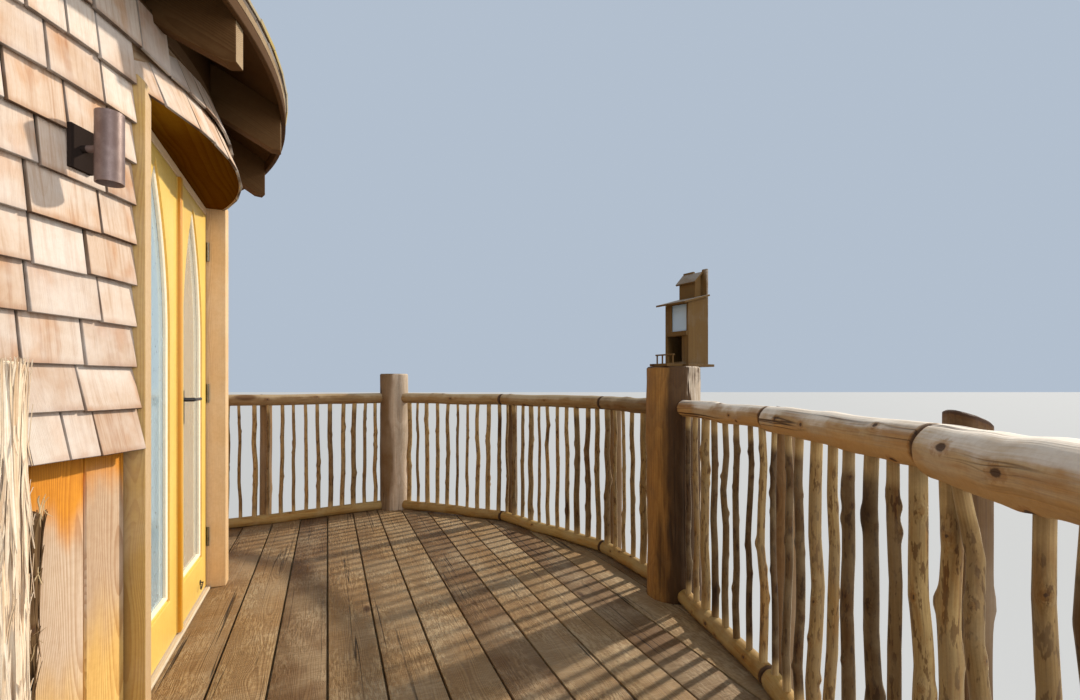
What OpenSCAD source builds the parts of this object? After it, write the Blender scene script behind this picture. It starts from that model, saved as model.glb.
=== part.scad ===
// Tree house cabin: a round, shingled cabin on log stilts, with a crescent deck in front of its
// double door and a balustrade of peeled logs. Millimetres. The origin is on the ground under the
// centre of the cabin, +Z is up and the door faces -Y.

/* [Deck] */
// Height of the deck above the ground
deck_h = 2000; // [1400:50:2800]
// Depth of the deck, from the wall to the balustrade
deck_depth = 2130; // [2000:10:2400]
// Thickness of the deck boards
deck_t = 35; // [25:1:50]
// Reach of the deck past the middle of the balustrade
deck_over = 44; // [40:1:60]
// Thickness of the rim board
rim_t = 40; // [30:1:60]
// Depth of the joists
joist_h = 150; // [120:5:220]
// Thickness of the joists
joist_t = 50; // [40:1:70]
// Spacing of the joists
joist_pitch = 450; // [400:10:600]
// Depth of the beams
beam_h = 200; // [150:5:260]
// Thickness of the beams
beam_t = 75; // [60:1:100]

/* [Cabin] */
// Radius of the shingled wall
cabin_r = 2020; // [1950:5:2100]
// Thickness of the wall
wall_t = 120; // [100:1:160]
// Height of the wall
wall_h = 2315; // [2260:5:2500]
// Step from the shingles in to the plank skirt
skirt_step = 30; // [20:1:45]
// Height of the plank skirt
skirt_h = 900; // [700:10:1000]
// How far the lowest shingles stand out
flare = 30; // [10:1:45]
// Height over which the shingles flare
flare_h = 250; // [150:10:400]
// Number of wall segments
wall_segments = 8; // [8:1:8]

/* [Roof] */
// Reach of the eave past the round of the wall
eave_over = 280; // [270:5:380]
// Slope of the roof in degrees
roof_slope = 27; // [25:1:30]
// Number of rafters
rafter_count = 20; // [16:1:22]
// Thickness of a rafter
rafter_t = 60; // [45:1:70]
// Depth of a rafter at its plumb end
rafter_end = 200; // [160:5:220]
// Level cut under the end of a rafter
rafter_heel = 40; // [20:1:60]
// Thickness of the roof boards
roof_board_t = 28; // [20:1:40]
// Thickness of the roof shingles
roof_shingle_t = 34; // [20:1:45]
// Radius of the hub where the rafters meet
hub_r = 240; // [230:5:300]

/* [Doorway] */
// Half the clear width between the jambs
door_half = 600; // [550:5:620]
// How far the doors stand back from the round of the wall
door_recess = 150; // [130:5:170]
// Height of the doors
door_top = 2001; // [1980:1:2005]
// Thickness of a door
door_t = 50; // [44:1:60]
// Gap under the doors
door_under = 20; // [15:1:25]
// Gap between a door and its jamb
hinge_gap = 5; // [5:1:8]
// Half the gap where the doors meet
meet_gap = 4; // [4:0.5:6]
// Width of the left jamb post
left_jamb_w = 62; // [55:1:100]
// Width of the right jamb post
right_jamb_w = 90; // [70:1:110]
// How far the front of the left jamb post stands in from the wall
left_jamb_set = 86; // [70:1:95]
// How far the front of the right jamb post stands in from the wall
right_jamb_set = 60; // [50:1:70]
// Reach of the jamb posts above the soffit
jamb_over = 45; // [30:5:60]
// How far the shingles swell out over the doors
hood_swell = 85; // [60:5:95]
// Radius of the bow in the hood over the doors
hood_arc = 1285; // [1250:5:1320]
// Width of a lancet light
light_w = 360; // [300:5:400]
// Height of the sill of a light
light_sill = 215; // [180:5:300]
// Height where the arch of a light springs
light_spring = 1290; // [1200:10:1400]
// Height of the point of a light
light_tip = 1930; // [1880:5:1940]
// Thickness of the glass
glass_t = 20; // [10:1:24]
// Radius of a hinge knuckle
knuckle_r = 6; // [5:0.5:7]

/* [Balustrade] */
// Height of the top of the balustrade
rail_top = 1020; // [900:10:1100]
// Radius of the bottom rail
low_rail_r = 38; // [30:1:42]
// Spacing of the spindles
spindle_pitch = 90; // [80:1:110]
// Radius of the main post
main_post_r = 137; // [120:1:160]
// Radius of the far corner post
far_post_r = 120; // [100:1:130]
// Radius of the near corner post
near_post_r = 78; // [72:1:90]
// Radius of the posts outside the rails
outer_post_r = 43; // [38:1:50]
// Height of the main post above the deck
main_post_top = 1190; // [1130:10:1250]
// Height of the far corner post above the deck
far_post_top = 1190; // [1130:10:1250]

/* [Fittings] */
// Radius of the wall lamp
lamp_r = 34; // [30:1:45]
// Height of the wall lamp
lamp_h = 195; // [140:5:220]
// Reach of the wall lamp from the wall
lamp_out = 90; // [70:5:110]
// Height of the middle of the wall lamp above the deck
lamp_z = 1755; // [1600:5:1850]
// Height of the newel log beside the wall
newel_h = 1150; // [1000:10:1250]
// Radius of the newel log
newel_r = 58; // [50:1:64]
// Height of the broken stub beside the newel
stub_h = 790; // [600:10:850]
// Radius of the stub
stub_r = 42; // [36:1:44]
// Width of the front of the bird house
bird_w = 160; // [140:5:200]
// Depth of the bird house
bird_d = 150; // [140:5:190]
// Height of the front of the bird house under its lower roof
bird_h = 320; // [280:5:340]
// Height of the back board of the bird house
bird_back = 505; // [480:5:560]
// Thickness of the boards of the bird house
bird_t = 13; // [10:1:16]
// Radius of a stilt under the cabin
stilt_r = 110; // [90:1:130]
// How far the ring of stilts stands in from the wall
stilt_inset = 520; // [420:10:670]

/* [Hidden] */
$fn = 48;
// Segments in the drawing of a large round piece
round_fn = 360;

// Clearance between two pieces that bear on each other
seat = 0.2;
// A length that reaches past every piece in a cut
far = 9000;

// Levels from the ground up
joist_top = deck_h - deck_t;
beam_top = joist_top - joist_h;
stilt_top = beam_top - beam_h;

// Plan of the cabin: the platform under the wall, its inner face and the doorway
floor_r = cabin_r - skirt_step;
inner_r = cabin_r - wall_t;
eave_r = cabin_r + eave_over;
stilt_ring = cabin_r - stilt_inset;
door_y = cabin_r - door_recess;
jamb_depth = 180;
frame_left = door_half + left_jamb_w;
frame_right = door_half + right_jamb_w;
frame_back = cabin_r - right_jamb_set - jamb_depth;
head_gap = 5;
door_head_h = 39;
hood_z = door_top + head_gap + door_head_h + seat;
jamb_top = hood_z + jamb_over;
jamb_bevel = 22;
// Gap between the platform of the cabin and the deck boards
deck_gap = 5;

// The open end of the deck, as an azimuth, and the near corner post a little inside it
rail_r0 = cabin_r + deck_depth;
near_az = -127;
near_edge = 12;
near_post_az = near_az + asin((near_post_r + near_edge) / rail_r0);
// The line of the balustrade, as azimuth in degrees and offset from the depth of the deck
rail_line = [[-31, 10 - deck_depth], [-54.8, -450], [-70.5, -130], [-85.5, 10], [-95.5, 30],
             [-107.5, 0], [-118.9, 0], [near_post_az, 10]];
bays = len(rail_line) - 1;
// Radii of the top rail of each bay, at its start and its end
rail_radii = [[42, 44], [44, 44], [44, 43], [43, 44], [40, 42], [46, 49], [56, 60]];
// Bays that end at a post on the rail line, by the number of the point
post_radii = [[1, far_post_r], [4, main_post_r], [7, near_post_r]];
// The posts outside the rails, as azimuth and reach past the top rail
outer_line = [[-70.5, 0], [-85.5, 0], [-107, 0], [-118.2, 28]];
// How much thicker the posts are at the foot, and how far they reach past the top rail
post_taper = 8;
near_over = 60;
outer_drop = 60;
outer_gap = 0.9;
// Reach of a rail past its points, before it is cut to them
rail_reach = 60;
first_spindle = 80;

// Roof lines, as heights above the ground at radius r
rafter_r = eave_r - 30;
rafter_lift = 2;
rafter_top_z = deck_h + wall_h + rafter_lift + rafter_end
    - (rafter_r - rafter_heel - cabin_r) * tan(roof_slope);
function roof_line(r) = rafter_top_z + (rafter_r - r) * tan(roof_slope);
function rafter_under(r) = rafter_top_z - rafter_end + (rafter_r - rafter_heel - r) * tan(roof_slope);
rafter_az = -87.3;
rafter_step = 360 / rafter_count;
plate_h = 50;

// Hinges: the axis of each door, and the heights of its three hinges
hinge_in = 3;
hinge_off = 2;
hinge_x = door_half - hinge_gap - hinge_in;
hinge_y = -(door_y + knuckle_r + hinge_off);
hinge_z = [280, 1050, 1810];
hinge_h = 100;
middle_h = 30;
pin_r = knuckle_r / 2;
knuckle_gap = 0.3;
plate_t = 1.5;
plate_w = 34;

// Bird house: its turn, the height of its upper tier, the slopes of its two roofs and its window
bird_turn = -170;
bird_shift = [10, 87, 0];
bird_tier = 118;
bird_slope = 15;
bird_pitch = 45;
bird_eave = 24;
bird_base = 22;
bird_window = [108, 138];
// Width of the stile at the plain side of the window
bird_stile = 9;
bird_sill = 186;
// How far one board of the bird house is let into the next
bird_sink = 1;

// Newel log and stub: where they stand on the deck, and the lean of the stub
newel_az = -123.5;
newel_out = 124;
stub_az = -120.8;
stub_out = 18;
stub_lean = 4;
stub_break = 32;

wood_dark = [0.42, 0.30, 0.20];
log_colour = [0.72, 0.56, 0.38];
deck_colour = [0.50, 0.40, 0.32];
cedar = [0.80, 0.66, 0.52];
plank = [0.72, 0.50, 0.28];
door_yellow = [0.93, 0.68, 0.16];
jamb_colour = [0.82, 0.66, 0.42];
bronze = [0.25, 0.18, 0.15];

function polar(r, a) = [r * cos(a), r * sin(a)];
function rail_pt(i) = polar(rail_r0 + rail_line[i][1], rail_line[i][0]);
function edge_r(a) = rail_r0 + lookup(a, [for (i = [1:bays]) rail_line[i]]) + deck_over;
function unit(v) = v / norm(v);
function post_r(i) = lookup(i, [for (k = [0:bays]) [k, max([for (p = post_radii) p[0] == k ? p[1] : 0])]]);

// Direction of the far end of the deck, and its outward normal
far_dir = unit(rail_pt(1) - rail_pt(0));
far_normal = [-far_dir.y, far_dir.x];
far_in = rail_pt(0) + far_normal * deck_over;
far_out = rail_pt(1) + (far_normal + far_dir) * deck_over;

// A ring between two radii, or a solid of revolution, over part of a turn
module turned(a0, a1) {
    rotate([0, 0, a0]) rotate_extrude(angle = a1 - a0, $fn = round_fn) children();
}

module platform_plan(grow) {
    difference() {
        circle(r = floor_r + grow, $fn = round_fn);
        translate([-frame_left + grow, -floor_r - far])
            square([frame_left + frame_right - 2 * grow, far + floor_r - frame_back - jamb_depth / 2 - grow]);
    }
}

// The deck's outline: without and with the hole for the cabin
module deck_plan_full(inset) {
    outer = [for (a = [near_az:1:rail_line[1][0]]) polar(edge_r(a) - inset, a)];
    polygon(concat([[0, 0]], outer, [far_out - far_dir * inset, far_in]));
}

module deck_plan() {
    difference() {
        deck_plan_full(0);
        platform_plan(deck_gap);
    }
}

// Strips of the rim along the two straight ends of the deck
module near_strip(w) {
    rotate([0, 0, near_az]) translate([0, -1]) square([far, w + 1]);
}

module far_strip(w) {
    translate(far_in) rotate([0, 0, atan2(far_dir.y, far_dir.x)]) translate([-far / 2, -w])
        square([far, w + 1]);
}

// Logs that stand through the deck, grown by a clearance for the cuts around them
module main_log(grow = 0) {
    translate(concat(rail_pt(4), [0]))
        cylinder(h = deck_h + main_post_top, r1 = main_post_r + post_taper + grow, r2 = main_post_r + grow);
}

module corner_logs(grow = 0) {
    translate(concat(rail_pt(1), [0]))
        cylinder(h = deck_h + far_post_top, r1 = far_post_r + post_taper + grow, r2 = far_post_r + grow);
    translate(concat(rail_pt(bays), [0]))
        cylinder(h = deck_h + rail_top + near_over, r = near_post_r + grow);
}

module outer_logs(grow = 0) {
    off = outer_post_r + outer_gap;
    mid = (rail_pt(0) + rail_pt(1)) / 2 + far_normal * (deck_over + off);
    round = [for (p = outer_line) concat(polar(edge_r(p[0]) + off, p[0]), [p[1]])];
    for (p = concat(round, [concat(mid, [0])]))
        translate([p.x, p.y, beam_top - outer_drop])
            cylinder(h = outer_drop + joist_h + deck_t + rail_top + p.z, r = outer_post_r + grow);
}

// A stilt in the middle and a ring of six around it
module cabin_stilts() {
    color(log_colour) for (at = concat([[0, 0]], [for (a = [0:60:300]) polar(stilt_ring, a)]))
        translate([at.x, at.y, 0]) cylinder(h = stilt_top, r1 = stilt_r + post_taper, r2 = stilt_r);
}

module beam_between(a, b) {
    translate(concat(a, [stilt_top + seat])) rotate([0, 0, atan2(b.y - a.y, b.x - a.x)])
        translate([0, -beam_t / 2, 0]) cube([norm(b - a), beam_t, beam_h - seat]);
}

module beams() {
    color(wood_dark) {
        for (a = [-60, 0, 60]) {
            y = stilt_ring * sin(a);
            reach = sqrt(pow(floor_r - rim_t, 2) - y * y) - 40;
            beam_between([-reach, y], [reach, y]);
        }
        difference() {
            union() {
                beam_between(rail_pt(bays), rail_pt(4));
                beam_between(rail_pt(4), rail_pt(1));
            }
            main_log(seat);
            corner_logs(seat);
        }
    }
}

module joists() {
    color(wood_dark) difference() {
        translate([0, 0, beam_top + seat]) linear_extrude(joist_h - 2 * seat) intersection() {
            for (x = [-5:5]) translate([x * joist_pitch - joist_t / 2, -far / 2]) square([joist_t, far]);
            union() {
                circle(r = floor_r - rim_t - seat, $fn = round_fn);
                difference() {
                    deck_plan_full(rim_t + seat);
                    near_strip(rim_t + seat);
                    far_strip(rim_t + seat);
                }
            }
        }
        main_log(seat);
        corner_logs(seat);
    }
}

module cabin_floor() {
    color(deck_colour) translate([0, 0, joist_top]) linear_extrude(deck_t) platform_plan(0);
}

// The rim boards in plan: the round of the deck, its two straight ends and the round of the cabin
module rim_plan() {
    difference() {
        deck_plan();
        deck_plan_full(rim_t);
        near_strip(rim_t + seat);
        far_strip(rim_t + seat);
    }
    intersection() {
        deck_plan();
        union() {
            near_strip(rim_t);
            far_strip(rim_t);
        }
    }
    difference() {
        circle(r = floor_r, $fn = round_fn);
        circle(r = floor_r - rim_t, $fn = round_fn);
        deck_plan_full(0);
    }
}

// The round stretches are short boards that butt with a narrow joint
module rim_board() {
    joint = 1;
    step = 12;
    color(wood_dark) difference() {
        translate([0, 0, beam_top]) linear_extrude(joist_h - seat) difference() {
            rim_plan();
            for (a = [near_az + step:step:near_az + 360 - step]) rotate([0, 0, a])
                translate([0, -joint / 2]) square([far, joint]);
        }
        main_log(seat);
        corner_logs(seat);
    }
}

module deck_floor() {
    color(deck_colour) difference() {
        translate([0, 0, joist_top]) linear_extrude(deck_t) deck_plan();
        main_log(seat);
        corner_logs(seat);
    }
}

module main_post() {
    color(log_colour) main_log();
}

module corner_posts() {
    color(log_colour) corner_logs();
}

module outer_posts() {
    color(log_colour) outer_logs();
}

// A newel log beside the wall, and a leaning stub of which the top broke off aslant
module wall_newel() {
    color(log_colour) {
        translate(concat(polar(cabin_r + newel_out, newel_az), [deck_h]))
            cylinder(h = newel_h, r1 = newel_r + post_taper, r2 = newel_r);
        difference() {
            translate(concat(polar(cabin_r + stub_out, stub_az), [deck_h])) rotate([0, 0, stub_az])
                rotate([0, stub_lean, 0]) difference() {
                    translate([0, 0, -stub_r]) cylinder(h = stub_h + stub_r, r1 = stub_r, r2 = stub_r - 4);
                    translate([0, 0, stub_h]) rotate([0, stub_break, 0])
                        translate([-far / 2, -far / 2, 0]) cube([far, far, stub_h]);
                }
            translate([-far / 2, -far / 2, deck_h - far]) cube(far);
        }
    }
}

// A log between two points in the plane of a bay
module bay_log(len, za, zb, ra, rb, reach) {
    slope = atan2(len, zb - za);
    translate([0, 0, za]) rotate([0, slope, 0]) translate([0, 0, -reach])
        cylinder(h = norm([len, zb - za]) + 2 * reach, r1 = ra, r2 = rb);
}

module bay_rails(i, len, grow) {
    ra = rail_radii[i][0];
    rb = rail_radii[i][1];
    bay_log(len, rail_top - ra, rail_top - rb, ra + grow, rb + grow, rail_reach);
    bay_log(len, low_rail_r + seat, low_rail_r + seat, low_rail_r + grow, low_rail_r + grow, rail_reach);
}

module bay_spindles(i, len) {
    start = i == 0 ? first_spindle : post_r(i) + spindle_pitch / 2;
    end = len - post_r(i + 1) - spindle_pitch / 2;
    n = floor((end - start) / spindle_pitch);
    radii = rands(12, 22, n + 1, i + 3);
    leans = rands(-1, 1, n + 1, i + 40);
    for (k = [0:n])
        translate([start + (end - start) * k / n, 0, low_rail_r]) rotate([0, leans[k], 0])
            cylinder(h = rail_top - low_rail_r - rail_radii[i][0], r1 = radii[k], r2 = radii[k] - 2);
}

module bay(i) {
    a = rail_pt(i);
    b = rail_pt(i + 1);
    len = norm(b - a);
    sliver = 0.002;
    color(log_colour) difference() {
        translate([a.x, a.y, deck_h]) rotate([0, 0, atan2(b.y - a.y, b.x - a.x)])
            difference() {
                bay_spindles(i, len);
                bay_rails(i, len, seat);
            }
        if (i == 0) cabin_envelope();
    }
    color(log_colour) difference() {
        intersection() {
            translate([a.x, a.y, deck_h]) rotate([0, 0, atan2(b.y - a.y, b.x - a.x)])
                bay_rails(i, len, 0);
            translate([0, 0, deck_h]) linear_extrude(rail_top + 100)
                polygon([[0, 0], polar(far, rail_line[i][0] - sliver),
                         polar(far, rail_line[i + 1][0] + sliver)]);
        }
        main_log(seat);
        corner_logs(seat);
        outer_logs(seat);
        if (i == 0) cabin_envelope();
    }
}

// Section of the wall, as radius and height above the deck
function wall_section(top) = [[inner_r, 0], [floor_r, 0], [floor_r, skirt_h + 5],
    [cabin_r + flare, skirt_h - 3], [cabin_r, skirt_h + flare_h], [cabin_r, top], [inner_r, top]];

// The cabin's outside with a clearance, for what ends against it
module cabin_envelope() {
    translate([0, 0, deck_h]) rotate_extrude($fn = round_fn)
        polygon([[0, 0], [floor_r + seat, 0], [floor_r + seat, skirt_h + 5 - seat],
                 [cabin_r + flare + seat, skirt_h - 3 - seat], [cabin_r + seat, skirt_h + flare_h],
                 [cabin_r + seat, wall_h], [0, wall_h]]);
}

module wall_segment(i) {
    start = -90 + asin(min(frame_left, frame_right) / cabin_r) - 1.2;
    sweep = (360 - 2 * (start + 90)) / wall_segments;
    gap = 0.004;
    color(cedar) difference() {
        translate([0, 0, deck_h]) turned(start + i * sweep + gap, start + (i + 1) * sweep - gap)
            polygon(wall_section(wall_h));
        translate([-frame_left - seat, -far, 0]) cube([frame_left + frame_right + 2 * seat, far, far]);
    }
}

// The wall over the doors: it keeps the round of the wall and bows out towards its lower edge
module door_hood() {
    height = wall_h - hood_z;
    top_swell = 6;
    centre = cabin_r + hood_swell - hood_arc;
    color(cedar) difference() {
        intersection() {
            translate([0, 0, deck_h + hood_z]) union() {
                cylinder(h = height, r = cabin_r, $fn = round_fn);
                translate([0, -centre, 0])
                    cylinder(h = height, r1 = hood_arc, r2 = hood_arc - hood_swell + top_swell, $fn = round_fn);
            }
            translate([-frame_left, -far, deck_h]) cube([frame_left + frame_right, far - frame_back, far]);
        }
        jamb(-1, seat);
        jamb(1, seat);
    }
}

module door_head() {
    color(jamb_colour) translate([-door_half + seat, -door_y, deck_h + door_top + head_gap])
        cube([2 * (door_half - seat), door_y - frame_back, door_head_h]);
}

// A jamb post with its top bevelled to shed water, grown by a clearance for the cut around it
module jamb(side, grow = 0) {
    width = side < 0 ? left_jamb_w : right_jamb_w;
    front = (side < 0 ? left_jamb_set : right_jamb_set) - cabin_r - grow;
    back = -frame_back + grow;
    translate([side * (door_half + width / 2), 0, deck_h]) rotate([90, 0, 90])
        linear_extrude(width + 2 * grow, center = true)
            polygon([[front, 0], [back, 0], [back, jamb_top + grow], [front + jamb_bevel, jamb_top + grow],
                     [front, jamb_top - jamb_bevel + grow]]);
}

module left_jamb() {
    color(jamb_colour) jamb(-1);
}

module right_jamb() {
    color(jamb_colour) jamb(1);
}

module threshold() {
    nose = 20;
    width = 100;
    under = 6;
    color(jamb_colour) translate([-door_half + seat, -door_y - nose, deck_h])
        cube([2 * (door_half - seat), width, door_under - under]);
}

// A pointed light, grown by g all round
module lancet(g) {
    rise = light_tip - light_spring;
    arc = (rise * rise + light_w * light_w / 4) / light_w;
    translate([0, light_spring]) intersection() {
        translate([arc - light_w / 2, 0]) circle(r = arc + g, $fn = round_fn);
        translate([light_w / 2 - arc, 0]) circle(r = arc + g, $fn = round_fn);
    }
    translate([-light_w / 2 - g, light_sill - g]) square([light_w + 2 * g, light_spring - light_sill + g]);
}

leaf_mid = (door_half - hinge_gap + meet_gap) / 2;

// An outline in the plane of the doors, from depth y0 behind their face to y1
module door_slab(y0, y1) {
    translate([0, -door_y + y1, deck_h]) rotate([90, 0, 0]) linear_extrude(y1 - y0) children();
}

module leaf() {
    rebate = 16;
    rebate_t = 12;
    difference() {
        door_slab(0, door_t) translate([meet_gap, door_under])
            square([door_half - hinge_gap - meet_gap, door_top - door_under]);
        door_slab(-1, door_t + 1) translate([leaf_mid, 0]) lancet(0);
        door_slab(-1, rebate_t) translate([leaf_mid, 0]) lancet(rebate);
    }
}

module left_door() {
    color(door_yellow) mirror([1, 0, 0]) leaf();
}

// The right leaf carries the strip that covers the gap between the leaves
module right_door() {
    strip_w = 45;
    strip_t = 14;
    color(door_yellow) union() {
        leaf();
        door_slab(-strip_t, 0) translate([meet_gap, door_under]) square([strip_w, door_top - door_under]);
    }
}

module pane() {
    set_back = 20;
    door_slab(set_back, set_back + glass_t) translate([leaf_mid, 0]) lancet(-seat);
}

module left_glass() {
    color([0.70, 0.82, 0.90, 0.5]) mirror([1, 0, 0]) pane();
}

module right_glass() {
    color([0.70, 0.82, 0.90, 0.5]) pane();
}

// A lever on a plate, on each face of the right leaf
module door_handle() {
    from_edge = 75;
    plate = [36, 8, 150];
    plate_z = 920;
    spindle_z = 1030;
    lever_out = 50;
    lever = 120;
    color("silver") for (face = [[-seat, -1], [door_t + seat, 1]]) {
        out = face[1];
        translate([from_edge, -door_y + face[0], deck_h]) {
            translate([-plate.x / 2, out > 0 ? 0 : -plate.y, plate_z]) cube(plate);
            translate([0, 0, spindle_z]) rotate([out > 0 ? -90 : 90, 0, 0]) cylinder(h = lever_out, r = 9);
            translate([0, out * lever_out, spindle_z]) rotate([0, 90, 0]) cylinder(h = lever, r = 7);
        }
    }
}

// The part of a hinge on the jamb: two knuckles with the pin, and the plate in the frame
module fixed_hinge() {
    side = (hinge_h - middle_h) / 2;
    plate_x = door_half - hinge_x - seat - plate_t;
    for (z = [0, hinge_h - side]) translate([0, 0, z]) {
        cylinder(h = side - knuckle_gap, r = knuckle_r);
        cube([plate_x + plate_t, knuckle_r + 1, side - knuckle_gap]);
    }
    cylinder(h = hinge_h, r = pin_r);
    translate([plate_x, knuckle_r + 0.5, 0]) cube([plate_t, plate_w, hinge_h]);
}

// The part on the leaf: the middle knuckle, bored for the pin, and the plate on the leaf's edge
module moving_hinge() {
    side = (hinge_h - middle_h) / 2;
    leaf_edge = door_half - hinge_gap - hinge_x + seat;
    middle = middle_h - 2 * knuckle_gap;
    difference() {
        translate([0, 0, side + knuckle_gap]) union() {
            cylinder(h = middle, r = knuckle_r);
            cube([leaf_edge + plate_t, knuckle_r + hinge_off - seat, middle]);
            translate([leaf_edge, 0, 0]) cube([plate_t, knuckle_r + 2 * hinge_off, middle]);
        }
        translate([0, 0, -1]) cylinder(h = hinge_h + 2, r = pin_r + 0.1);
    }
    translate([leaf_edge, knuckle_r + hinge_off + 0.5, 0]) cube([plate_t, plate_w, hinge_h]);
}

module at_hinges() {
    for (z = hinge_z) translate([hinge_x, hinge_y, deck_h + z - hinge_h / 2]) children();
}

module door_hinges() {
    color("silver") {
        at_hinges() fixed_hinge();
        mirror([1, 0, 0]) at_hinges() fixed_hinge();
    }
}

module left_hinge_leaves() {
    color("silver") mirror([1, 0, 0]) at_hinges() moving_hinge();
}

module right_hinge_leaves() {
    color("silver") at_hinges() moving_hinge();
}

module wall_ring(r0, r1, z0, z1) {
    translate([0, 0, z0]) linear_extrude(z1 - z0) difference() {
        circle(r = r1, $fn = round_fn);
        circle(r = r0, $fn = round_fn);
    }
}

plate_r0 = inner_r + 5;
plate_r1 = cabin_r - 20;

module wall_plate() {
    color(wood_dark) wall_ring(plate_r0, plate_r1, deck_h + wall_h + seat, deck_h + wall_h + plate_h);
}

module rafter_blank(grow) {
    start = hub_r / 2;
    rotate([90, 0, 0]) translate([0, 0, -rafter_t / 2 - grow]) linear_extrude(rafter_t + 2 * grow)
        polygon([[start, rafter_under(start)], [rafter_r - rafter_heel, rafter_top_z - rafter_end],
                 [rafter_r, rafter_top_z - rafter_end], [rafter_r, rafter_top_z],
                 [start, roof_line(start)]]);
}

module all_rafters(grow) {
    for (k = [0:rafter_count - 1]) rotate([0, 0, rafter_az + k * rafter_step]) rafter_blank(grow);
}

// The rafters are notched over the plate, and their tops are planed to the cone of the boards
module rafters() {
    planed = 0.1;
    end_r = eave_r + 100;
    color(wood_dark) difference() {
        all_rafters(0);
        wall_ring(plate_r0 - seat, plate_r1 + seat, deck_h + wall_h, deck_h + wall_h + plate_h + seat);
        cylinder(h = far, r = hub_r + seat);
        rotate_extrude($fn = round_fn) polygon([[0, roof_line(0) - planed],
            [end_r, roof_line(end_r) - planed], [end_r, far], [0, far]]);
    }
}

module eave_blocking() {
    outer = plate_r1 - 15;
    inner = outer - 25;
    color(wood_dark) difference() {
        rotate_extrude($fn = round_fn) polygon([[inner, deck_h + wall_h + plate_h + seat],
            [outer, deck_h + wall_h + plate_h + seat], [outer, roof_line(outer) - seat],
            [inner, roof_line(inner) - seat]]);
        all_rafters(seat);
    }
}

module roof_hub() {
    drop = 30;
    color(log_colour) translate([0, 0, rafter_under(hub_r) - drop])
        cylinder(h = roof_line(hub_r) - rafter_under(hub_r) + drop, r = hub_r);
}

fascia_t = 20;

// One wedge of boards between each pair of rafters
module roof_boards() {
    r1 = rafter_r + fascia_t;
    r0 = hub_r / 4;
    gap = 0.01;
    color(wood_dark) for (k = [0:rafter_count - 1])
        turned(rafter_az + k * rafter_step + gap, rafter_az + (k + 1) * rafter_step - gap)
            polygon([[r0, roof_line(r0) + seat], [r1, roof_line(r1) + seat],
                     [r1, roof_line(r1) + roof_board_t], [r0, roof_line(r0) + roof_board_t]]);
}

module roof_shingles() {
    cap_r = 170;
    cap_t = 26;
    base = roof_board_t + seat;
    color(cedar) rotate_extrude($fn = round_fn)
        polygon([[0, roof_line(0) + base], [eave_r, roof_line(eave_r) + base],
                 [eave_r, roof_line(eave_r) + base + roof_shingle_t],
                 [cap_r, roof_line(cap_r) + base + roof_shingle_t],
                 [cap_r, roof_line(cap_r) + base + roof_shingle_t + cap_t],
                 [0, roof_line(0) + base + roof_shingle_t + cap_t]]);
}

module eave_fascia() {
    r0 = rafter_r + seat;
    r1 = rafter_r + fascia_t;
    z0 = rafter_top_z - 58;
    color(wood_dark) rotate_extrude($fn = round_fn)
        polygon([[r0, z0], [r1, z0], [r1, roof_line(r1)], [r0, roof_line(r0)]]);
}

// The wall's round behind the lamp, from the middle of the lamp
module wall_round(r) {
    translate([-lamp_out - cabin_r, 0, -lamp_h]) cylinder(h = 2 * lamp_h, r = r, $fn = round_fn);
}

// An up-and-down cylinder on a short arm, with a plate on the wall
module wall_lamp() {
    az = -115;
    cup_t = 3;
    cup_h = 29;
    arm_r = 10;
    plate = [12, 70, 120];
    color(bronze) rotate([0, 0, az]) translate([cabin_r + lamp_out, 0, deck_h + lamp_z]) {
        difference() {
            translate([0, 0, -lamp_h / 2]) cylinder(h = lamp_h, r = lamp_r);
            for (z = [-lamp_h / 2 - 1, lamp_h / 2 - cup_h]) translate([0, 0, z])
                cylinder(h = cup_h + 1, r = lamp_r - cup_t);
        }
        difference() {
            translate([-lamp_out, 0, 0]) rotate([0, 90, 0]) cylinder(h = lamp_out, r = arm_r);
            translate([0, 0, -lamp_h / 2]) cylinder(h = lamp_h, r = lamp_r + seat);
            wall_round(cabin_r + plate.x + seat);
        }
        difference() {
            translate([-lamp_out - plate.x, -plate.y / 2, -plate.z / 2]) cube([2 * plate.x, plate.y, plate.z]);
            wall_round(cabin_r + seat);
        }
    }
}

// A board of the bird house, from its corner, with its thickness along the last size given as 0
module bird_board(at, size) {
    translate(at) cube([for (s = size) s == 0 ? bird_t : s]);
}

// The side of the lower tier in plan of depth and height: its top follows the lower roof
module bird_side(x) {
    run = bird_d - bird_t;
    translate([x, -bird_d / 2, bird_t - bird_sink]) rotate([90, 0, 90]) linear_extrude(bird_t)
        polygon([[0, 0], [run + bird_sink, 0], [run + bird_sink, bird_h + run * tan(bird_slope) + 2 * bird_sink],
                 [0, bird_h + 2 * bird_sink]]);
}

// The window front: a wide and a narrow stile, the window, its sill and the door hole under it
module bird_front() {
    open = bird_window;
    left = bird_w / 2 - bird_stile - open.x;
    hole = [-bird_w / 2 + 16, 2 * bird_t, 100, 134];
    difference() {
        bird_board([-bird_w / 2, -bird_d / 2, bird_t - bird_sink],
                   [bird_w, 0, bird_h + bird_t * tan(bird_slope) + 2 * bird_sink]);
        translate([left, -bird_d / 2 - 1, bird_sill]) cube([open.x, bird_t + 2, open.y]);
        translate([hole[0], -bird_d / 2 - 1, hole[1]]) cube([hole[2], bird_t + 2, hole[3]]);
    }
    translate([left - 30, -bird_d / 2 - bird_t, bird_sill - 24]) cube([open.x + 36, 1.5 * bird_t, 22]);
}

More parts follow.
